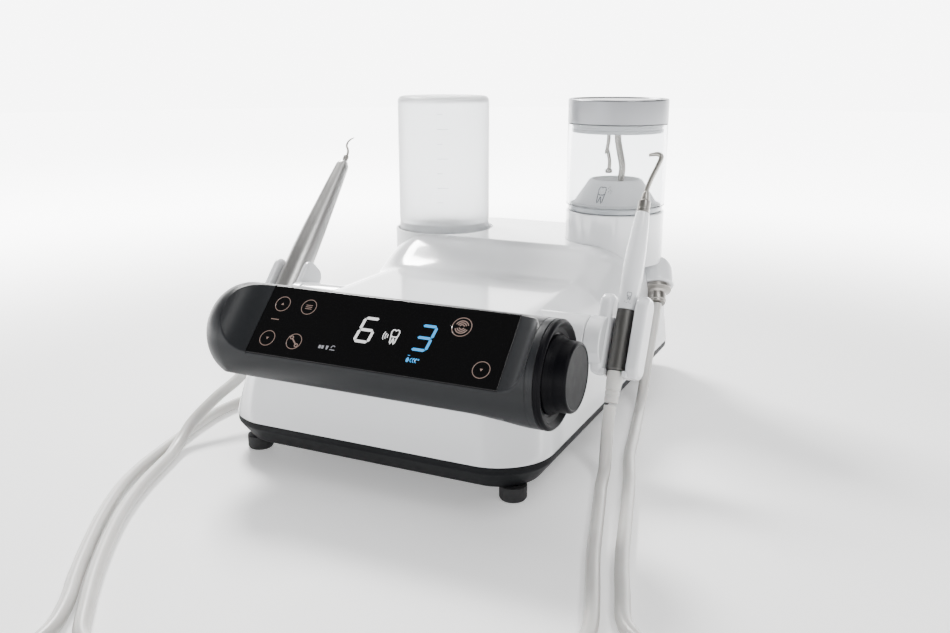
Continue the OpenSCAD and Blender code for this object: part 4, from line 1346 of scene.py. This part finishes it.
# ---------- holders, ports and handpieces ----------

HOLDER_HALF = 17
HUB_TO_TAIL = 18.7
HANDPIECE_X = 138
BOSS_END = 117.5
FLIP = Matrix.Diagonal((-1, 1, 1, 1))
SCALER_LIFT = Vector(JOINTS["scaler_lift"]["axis"])
POLISHER_LIFT = Vector(JOINTS["polisher_lift"]["axis"])
# channel radius, handpiece offset from the hub, lift axis
HOLDERS = {"left": (11.45, -2.5, SCALER_LIFT), "right": (7.8, 5.1, POLISHER_LIFT)}


def handpiece_frame(side):
    """Z up the handpiece from its tail, -Y towards the user. Both holders are drawn on the right and
    flipped."""
    offset, up = HOLDERS[side][1:]
    tilt = math.atan2(up.y, up.z)
    return Matrix.Translation(Vector((HANDPIECE_X, PIVOT.y, PIVOT.z)) * MM) @ Matrix.Rotation(-tilt, 4, "X") \
        @ Matrix.Translation(Vector((0, offset, -HUB_TO_TAIL)) * MM)


def placed(piece, side, frame):
    """Puts a piece drawn on the right in place, flipped for the left."""
    moved(piece, FLIP @ frame if side == "left" else frame)
    return outward(piece)


def rounded_outline(low, high, radius, steps=8):
    """Rectangle with round corners."""
    points = []
    for cx, cy, start in ((high[0] - radius, low[1] + radius, -90), (high[0] - radius, high[1] - radius, 0),
                          (low[0] + radius, high[1] - radius, 90), (low[0] + radius, low[1] + radius, 180)):
        points += arc(cx, cy, radius, start, start + 90, steps)
    return points


def united(piece, *others):
    for other in others:
        apply_modifier(piece, "BOOLEAN", operation="UNION", object=other, solver="EXACT")
        bpy.data.objects.remove(other, do_unlink=True)
    return piece


def holder(side):
    channel, offset, _ = HOLDERS[side]
    low, top, back = -4.2, 52.8, channel + 3
    thick = HOLDER_HALF - channel
    lay = Matrix(((0, 0, 1, 0), (1, 0, 0, 0), (0, 1, 0, 0), (0, 0, 0, 1)))
    fins = []
    for start in (-HOLDER_HALF, channel):
        fin = prism("fin", rounded_outline((-10, low), (back, top), 7.9), start, start + thick)
        softened(fin, min(thick * 0.42, 3.2), 5, 60)
        fins.append(moved(fin, lay))
    spine = softened(block("spine", (-channel - 2, channel - 2, low + 0.4),
                           (channel + 2, channel + 2.9, 38)), 2, 4)
    step = softened(block("step", (-channel - 2, -8, low + 0.1), (channel + 2, channel + 1, 0)), 1.2, 3)
    hub = turned("hub", [(0, -20.2, 0), (16.2, -20.2, 0.5), (17, -19.4, 0.5), (17, -channel - 1, 1),
                         (0, -channel - 1, 0)],
                 axis_frame((0, -offset, HUB_TO_TAIL), (1, 0, 0)), 96)
    piece = united(fins[0], hub, spine, step, fins[1])
    cut(piece, rod("channel", channel, (0, 0, 0), (0, 0, 120), 96),
        block("front", (-channel, -60, 0), (channel, 0, 120)),
        rod("hose_way", 6.4, (0, 0, low - 4), (0, 0, 3), 64),
        block("hose_front", (-6.4, -40, low - 4), (6.4, 0, 3)))
    piece.name = piece.data.name = "holder_" + side + "_moulded"
    placed(piece, side, handpiece_frame(side))
    pin = rod("pin", 3.95, (BOSS_END - 19.6, PIVOT.y, PIVOT.z), (BOSS_END + 1.5, PIVOT.y, PIVOT.z), 48)
    if side == "left":
        moved(pin, FLIP)
    outward(softened(pin, 0.5, 2))
    piece = joined(piece.name, piece, pin)
    done(piece, "holder_" + side, finish_of(gloss_white, settings().case.white), "holder_" + side)
    return weighted(piece)


class SCALER_OT_holders(Operator):
    """Swivelling holders on their bosses"""
    bl_idname = "scaler.holders"
    bl_label = "Holders"

    def execute(self, context):
        white = finish_of(gloss_white, settings().case.white)
        for side in ("left", "right"):
            boss = turned("boss", [(4.1, 80, 0), (17, 80, 0.4), (17, BOSS_END - 0.1, 0.9),
                                   (4.1, BOSS_END - 0.1, 0.3),
                                   (4.1, 80, 0)], along_x(0, PIVOT.y, PIVOT.z), 96)
            boss.name = boss.data.name = "pivot_" + side
            placed(boss, side, Matrix.Identity(4))
            done(boss, "root", white, "pivot_boss_" + side)
            holder(side)
        return {"FINISHED"}


class SCALER_OT_ports(Operator):
    """Hose ports with their metal couplings"""
    bl_idname = "scaler.ports"
    bl_label = "Hose ports"

    def execute(self, context):
        white = finish_of(gloss_white, settings().case.white)
        for side in ("left", "right"):
            frame = port_frame(1)
            dome = [(15 * math.sin(math.radians(a)), -14 - 15 * math.cos(math.radians(a)), 0)
                    for a in range(6, 90, 6)]
            port = turned("port", [(0, -29, 0), *dome, (15, -14, 0), (15, 0, 2.2), (10.9, 0, 0.8),
                                   (10.9, -4, 0.5), (0, -4, 0)], None, 96)
            port.name = port.data.name = "port_" + side + "_moulded"
            placed(port, side, frame)
            done(port, "root", white, "port_" + side)
            coupling = turned("coupling", [
                (0, -3.9, 0), (10.2, -3.9, 0.3), (10.2, -1.2, 0.3), (9.7, -0.9, 0.1), (9.7, -0.3, 0.1),
                (12.4, 0.25, 0.4), (12.6, 3.6, 0.9), (9.2, 5.2, 0.8), (8.2, 6.6, 0.4), (7.8, 7.0, 0.2),
                (7.8, 7.6, 0.2), (8.1, 8.0, 0.2), (7.9, 13.2, 0.6), (7.2, 14.0, 0.3), (7.2, 15.4, 0.5),
                (0, 15.6, 0)], None, 96)
            coupling.name = coupling.data.name = "coupling_" + side
            placed(coupling, side, frame)
            done(coupling, "root", finish_of(nickel), "connector_" + side)
        return {"FINISHED"}


def handpiece_part(name, corners, side, body, finish, node, around=96, angle=35):
    piece = turned(name, corners, None, around)
    placed(piece, side, handpiece_frame(side))
    return done(piece, body, finish, node, angle)


class SCALER_OT_scaler_handpiece(Operator):
    """Ultrasonic handpiece with its satin sleeve and hooked tip"""
    bl_idname = "scaler.scaler_handpiece"
    bl_label = "Scaler handpiece"

    def execute(self, context):
        white = finish_of(gloss_white, settings().case.white)
        satin = finish_of(satin_sleeve)
        handpiece_part("scaler_end", [(0, 0.1, 0), (8.9, 0.1, 0.6), (9.9, 2.6, 2), (10.35, 5, 1),
                                      (10.35, 11.8, 0.4),
                                      (0, 11.8, 0)], "left", "scaler", white, "scaler_tail")
        handpiece_part("scaler_barrel", [
            (0, 12, 0), (10.2, 12, 0.3), (10.65, 12.8, 0.4), (10.65, 40, 30), (10.5, 62, 30), (9.4, 88, 30),
            (8.1, 110, 40), (6.9, 132, 40), (5.6, 151.4, 0.4), (5.3, 152, 0.2), (0, 152, 0)],
            "left", "scaler", satin, "scaler_sleeve")
        handpiece_part("scaler_nozzle", [
            (0, 152.1, 0), (5.1, 152.1, 0.2), (5.1, 152.8, 0.2), (4.6, 153.2, 0.3), (3.6, 155.6, 0.8),
            (1.7, 156.2, 0.3), (1.7, 158, 0.2),
            (0, 158, 0)], "left", "scaler", satin, "scaler_nose", 64)
        nut = turned("tip_nut", [(0, 158, 0), (2.5, 158, 0.3), (2.5, 161.6, 0.5), (1.5, 162.6, 0.3),
                                 (0, 162.6, 0)],
                     None, 6)
        bend = swept("tip_bend", [(0, 0, 162), (0, 0, 165), (1.5, 0, 169), (4.4, 0, 173), (4.6, 0, 177.5),
                                  (2.8, 0, 180.6), (0.6, 0, 182)], [1.1, 1.1, 1.0, 0.95, 0.85, 0.6, 0.35],
                     None, 16, 6, True)
        tip = joined("scaler_bit", nut, bend)
        placed(tip, "left", handpiece_frame("left"))
        done(tip, "scaler", finish_of(steel), "scaler_tip", 40)
        return {"FINISHED"}


class SCALER_OT_polisher_handpiece(Operator):
    """Polishing handpiece with its dark grip, white barrel, collar and bent nozzle"""
    bl_idname = "scaler.polisher_handpiece"
    bl_label = "Polisher handpiece"

    def execute(self, context):
        white = finish_of(gloss_white, settings().case.white)
        handpiece_part("polisher_sleeve", [(0, 0.1, 0), (5.4, 0.1, 0.4), (6.3, 1.2, 0.6), (6.3, 42.6, 0.3),
                                           (0, 42.6, 0)],
                       "right", "polisher", finish_of(dark_grip), "polisher_grip")
        handpiece_part("polisher_body", [
            (0, 42.8, 0), (6.4, 42.8, 0.3), (6.5, 46, 6), (6.9, 55, 14), (7.5, 65, 20), (7.0, 84, 40),
            (5.7, 103, 30), (4.75, 112.4, 0.5), (4.5, 112.9, 0.2), (0, 112.9, 0)],
            "right", "polisher", white, "polisher_barrel")
        frame = handpiece_frame("right")

        def on_barrel(x, y, lift):
            angle = math.radians(-72) + x / 6.7
            radius = (6.5 + 0.4 * eased(y, 46, 55) + 0.6 * eased(y, 55, 65) - 0.5 * eased(y, 66, 84)
                      + 0.06 + lift)
            return (frame @ (Vector((radius * math.cos(angle), radius * math.sin(angle), y)) * MM)) / MM

        marks = tooth(0, 51.5, 5.6, 0.38)
        for x, y in ((-2.6, 47.6), (-1.2, 46.8), (0.2, 47.4), (1.4, 46.7)):
            marks += circle(x, y, 0.2, 0.22, 8)
        done(printed("barrel_symbol", marks, on_barrel), "polisher", finish_of(grey_print))
        handpiece_part("polisher_ring", [
            (0, 113.1, 0), (4.5, 113.1, 0.2), (4.5, 115.6, 0.2), (4.25, 115.8, 0.1), (4.25, 116.3, 0.1),
            (4.45, 116.5, 0.1), (4.2, 121.3, 0.5), (3.4, 122.0, 0.3), (0, 122.0, 0)],
            "right", "polisher", finish_of(nickel), "polisher_collar", 64)
        foot = turned("nozzle_foot", [(0, 122.3, 0), (3.0, 122.3, 0.3), (2.9, 123.6, 0.8), (2.2, 127.4, 1.5),
                                      (1.8, 128.4, 0.3), (0, 128.4, 0)], None, 48)
        bend = swept("nozzle_bend", [(0, 0, 127), (0.4, 0, 131.3), (2, 0, 138.3), (4.6, 0, 146.3),
                                     (6.4, 0, 152.6), (6.1, 0, 155.2), (3.6, 0, 156.4), (0.4, 0, 156.1),
                                     (-2.6, 0, 155.3)],
                     [1.75, 1.75, 1.75, 1.75, 1.75, 1.75, 1.65, 1.4, 1.15], None, 24, 6)
        nozzle = joined("nozzle", foot, bend)
        placed(nozzle, "right", frame)
        done(nozzle, "nozzle", finish_of(steel), "polisher_nozzle", 45)
        return {"FINISHED"}


# ---------- hoses ----------

def coil_points(centre):
    """The coil from its first turn on the table to the strand that leaves over the top."""
    out = []
    for degree in range(COIL_START, COIL_END + 1, 15):
        radius = COIL_WIDE - (COIL_WIDE - COIL_NARROW) * (eased(degree, 445, 520) - eased(degree, 1060, 1130))
        out.append((degree, radius, FLOOR_Z + COIL_LAYER * eased(degree, 720, 810)))
    return [centre + Vector((radius * math.cos(math.radians(a)), radius * math.sin(math.radians(a)), z))
            for a, radius, z in out[:-1] + PEEL]


def length_of(points):
    return sum((b - a).length for a, b in zip(points, points[1:]))


def hose(name, points, steps=4, around=20):
    line = [Vector((*point.xy, max(point.z, HOSE_DIAMETER / 2))) for point in curve_through(points, steps)]
    piece = lofted(name, swept_rings(line, [HOSE_DIAMETER / 2] * len(line), around))
    return smooth(piece, 60), line


def in_metres(points):
    return [tuple(point * MM) for point in points]


class SCALER_OT_hoses(Operator):
    """Silicone hoses, their rises to the holders and their boots"""
    bl_idname = "scaler.hoses"
    bl_label = "Hoses"

    def execute(self, context):
        rubber = finish_of(silicone)
        for side, way_in, way_out, rise_at, centre in (("left", LEFT_IN, LEFT_OUT, LEFT_RISE, COIL_LEFT),
                                                       ("right", RIGHT_IN, RIGHT_OUT, RIGHT_RISE, COIL_RIGHT)):
            way_in = [Vector(point) for point in way_in]
            way_out = [Vector(point) for point in way_out]
            turns = coil_points(centre)
            if side == "left":
                route = way_in + turns + way_out[:rise_at - 1:-1]
            else:
                route = way_in + turns[::-1] + way_out[:rise_at - 1:-1]
            main, line = hose("hose_" + side + "_lying", route)
            main.data.materials.append(rubber)
            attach(main, "root")
            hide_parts("hose_" + side, "coil_" + side)
            tuple(line[0] * MM)
            round(length_of(line) * MM, 3)
            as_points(in_metres(line))
            rise, line = hose("hose_" + side + "_rise", way_out[rise_at::-1], 8)
            rise.data.materials.append(rubber)
            "holder_" + side
            tuple(line[0] * MM)
            tuple(line[-1] * MM)
            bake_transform(rise)
            tuple(line[0] * MM)
            round(length_of(line) * MM, 3)
            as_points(in_metres(line))
            boot = turned("boot_" + side + "_moulded", [
                (0, -22, 0), (4.35, -22, 0.3), (4.75, -21, 0.5), (4.8, -18.4, 0.3), (4.5, -18, 0.2),
                (4.5, -17.2, 0.2), (4.95, -16.8, 0.3), (5.05, -14.6, 0.3), (4.7, -14.2, 0.2),
                (4.7, -13.4, 0.2), (5.15, -13, 0.3), (5.3, -10, 0.6), (5.6, -8, 2), (5.6, -0.2, 0.5),
                (0, -0.2, 0)], None, 48)
            placed(boot, side, handpiece_frame(side))
            tool = "scaler" if side == "left" else "polisher"
            smooth(boot, 40)
            boot.data.materials.append(rubber)
            frame = FLIP @ handpiece_frame(side) if side == "left" else handpiece_frame(side)
            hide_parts("boot_" + side)
            "holder_" + side
            tuple(frame @ Vector((0, 0, -0.022)))
            tuple(frame @ Vector((0, 0, -0.008)))
            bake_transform(boot)
        return {"FINISHED"}


# ---------- rear and inner parts ----------

def panel_black():
    return tinted("panel_black", (0.030, 0.032, 0.035), 0.42)


# node: name of its dressed copy, body, finish, slot, edge rounding in mm
REAR_PARTS = {
    "rear_panel": ("rear_panel_moulded", "root", panel_black, "grey_plastic", 0.3),
    "rear_screws": ("rear_panel_screws", "root", steel, "steel", 0.25),
    "power_inlet": ("mains_inlet", "root", dark_part, "black_plastic", 0.3),
    "power_rocker": ("mains_rocker", "rocker", piano_black, "black_plastic", 0.4),
    "control_socket": ("foot_control_socket", "root", nickel, "nickel", 0.3),
    "air_inlet": ("air_fitting", "root", brass, "brass_fitting", 0.3),
    "water_inlet": ("water_fitting", "root", nickel, "nickel", 0.3),
}
INNER_FINISHES = {
    "foot_screws": steel, "display_board": circuit_green, "dial_encoder": steel, "main_board": circuit_green,
    "board_parts": dark_part, "heat_sink": steel, "transformer": winding, "water_pump": panel_black,
    "valve_block": steel, "air_regulator": panel_black, "water_line": tube_blue, "air_line": tube_blue,
    "dock_seal": foot_rubber,
}


class SCALER_OT_rear(Operator):
    """Rear panel with its inlets, rocker and fittings"""
    bl_idname = "scaler.rear"
    bl_label = "Rear panel"

    def execute(self, context):
        for node, (name, body, finish, slot, rounding) in REAR_PARTS.items():
            piece = copied_node(name, node)
            softened(piece, rounding, 2, 50)
            done(piece, body, finish_of(finish), node)
            weighted(piece)
        return {"FINISHED"}


class SCALER_OT_inner(Operator):
    """Finishes of the boards, pump, valves and other inner parts"""
    bl_idname = "scaler.inner"
    bl_label = "Inner parts"

    def execute(self, context):
        for node, finish in INNER_FINISHES.items():
            for holder_slot in FRAME["nodes"][node].material_slots:
                holder_slot.material = finish_of(finish)
        return {"FINISHED"}


# ---------- stage ----------

CAMERA_AT = (0.3148, -0.6459, 0.270)
CAMERA_TURN = (74.86, 0, 25.36)
CAMERA_LENS = 36.03
# name: place, aim, width, height, watts, colour
LIGHTS = {
    "key": ((-0.95, 0.75, 1.35), (0, 0, 0.05), 0.45, 0.45, 62, (1, 0.99, 0.975)),
    "top": ((0.0, 0.35, 1.5), (0, 0, 0), 1.5, 1.2, 11, (1, 1, 1)),
    "front": ((-0.6, -1.5, 0.35), (0, -0.05, 0.07), 1.2, 0.5, 3, (0.90, 0.95, 1)),
    "scoop_strip": ((0.85, -0.45, 1.25), (0.1, -0.15, 0.1), 0.35, 0.5, 9, (1, 1, 1)),
}


# brightness of the surround: towards BEHIND or away from it, and low down or overhead
BEHIND = (-0.43, 0.90, 0.0)
BEHIND_SPREAD, BEHIND_LIGHT = (0.45, 0.88), (2.2, 7.5)
OVERHEAD_SPREAD, OVERHEAD_LIGHT = (0.12, 0.5), (1.0, 0.08)


def soft_range(tree, taken, given):
    """A node that turns the taken range into the given one, level at both ends."""
    made = tree.nodes.new("ShaderNodeMapRange")
    made.interpolation_type = "SMOOTHSTEP"
    for label, value in zip(("From Min", "From Max", "To Min", "To Max"), (*taken, *given)):
        made.inputs[label].default_value = value
    return made


def aimed(start, end):
    return (Vector(end) - Vector(start)).to_track_quat("-Z", "Y").to_euler()


class SCALER_OT_camera(Operator):
    """Camera in front and to the right of the unit"""
    bl_idname = "scaler.camera"
    bl_label = "Camera"

    def execute(self, context):
        clear_selection()
        bpy.ops.object.camera_add(location=CAMERA_AT, rotation=[math.radians(turn) for turn in CAMERA_TURN])
        camera = context.active_object
        camera.name = "camera"
        camera.data.lens = CAMERA_LENS
        camera.data.sensor_width = 36
        camera.data.clip_start = 0.01
        context.scene.camera = camera
        return {"FINISHED"}


class SCALER_OT_stage(Operator):
    """Pale floor with a painted glow, soft lights and a white surround"""
    bl_idname = "scaler.stage"
    bl_label = "Floor and light"

    def execute(self, context):
        clear_selection()
        bpy.ops.mesh.primitive_circle_add(vertices=96, radius=5, fill_type="NGON", location=(0, 0, 0))
        floor = named("floor")
        # the floor's finish paints a glow that brightens it away from the unit
        floor.data.materials.append(finish_of(painted_glow_floor))
        for name, (place, aim, wide, high, watts, colour) in LIGHTS.items():
            clear_selection()
            bpy.ops.object.light_add(type="AREA", location=place, rotation=aimed(place, aim))
            light = context.active_object
            light.name = name
            light.data.shape = "RECTANGLE"
            light.data.size, light.data.size_y = wide, high
            light.data.energy, light.data.color = watts, colour
        world = context.scene.world or bpy.data.worlds.new("surround")
        context.scene.world = world
        world.use_nodes = True
        tree = world.node_tree
        sky = tree.nodes["Background"]
        sky.inputs["Strength"].default_value = 1.0
        heading = tree.nodes.new("ShaderNodeTexCoord")
        facing = tree.nodes.new("ShaderNodeVectorMath")
        facing.operation = "DOT_PRODUCT"
        facing.inputs[1].default_value = BEHIND
        parts = tree.nodes.new("ShaderNodeSeparateXYZ")
        fade = soft_range(tree, BEHIND_SPREAD, BEHIND_LIGHT)
        height = soft_range(tree, OVERHEAD_SPREAD, OVERHEAD_LIGHT)
        tree.links.new(heading.outputs["Object"], facing.inputs[0])
        tree.links.new(facing.outputs["Value"], fade.inputs["Value"])
        tree.links.new(heading.outputs["Object"], parts.inputs[0])
        tree.links.new(parts.outputs["Z"], height.inputs["Value"])
        tree.links.new(fade.outputs["Result"], sky.inputs["Color"])
        tree.links.new(height.outputs["Result"], sky.inputs["Strength"])
        return {"FINISHED"}


# ---------- panel and registration ----------

BUILDERS = (SCALER_OT_camera, SCALER_OT_hoses, SCALER_OT_cover, SCALER_OT_base, SCALER_OT_drum, SCALER_OT_dial,
            SCALER_OT_display, SCALER_OT_bottle, SCALER_OT_chamber, SCALER_OT_holders, SCALER_OT_ports,
            SCALER_OT_scaler_handpiece, SCALER_OT_polisher_handpiece, SCALER_OT_rear, SCALER_OT_inner,
            SCALER_OT_stage)


class SCALER_PT_panel(Panel):
    """Pieces of the scaler and their sizes"""
    bl_idname = "SCALER_PT_panel"
    bl_label = "Ultrasonic scaler"
    bl_space_type = "VIEW_3D"
    bl_region_type = "UI"
    bl_category = "Scaler"

    def draw(self, context):
        for group in (settings().case, settings().drum, settings().vessel):
            box = self.layout.box()
            for name in group.__annotations__:
                box.prop(group, name)
        for builder in BUILDERS:
            self.layout.operator(builder.bl_idname)


CLASSES = (CaseSettings, DrumSettings, VesselSettings, ScalerSettings, *BUILDERS, SCALER_PT_panel)


def register():
    for each in CLASSES:
        bpy.utils.register_class(each)
    bpy.types.Scene.scaler_settings = PointerProperty(type=ScalerSettings)


def unregister():
    del bpy.types.Scene.scaler_settings
    for each in reversed(CLASSES):
        bpy.utils.unregister_class(each)


def main():
    register()
    for builder in BUILDERS:
        group, name = builder.bl_idname.split(".")
        getattr(getattr(bpy.ops, group), name)()
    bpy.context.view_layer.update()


if __name__ == "__main__":
    main()
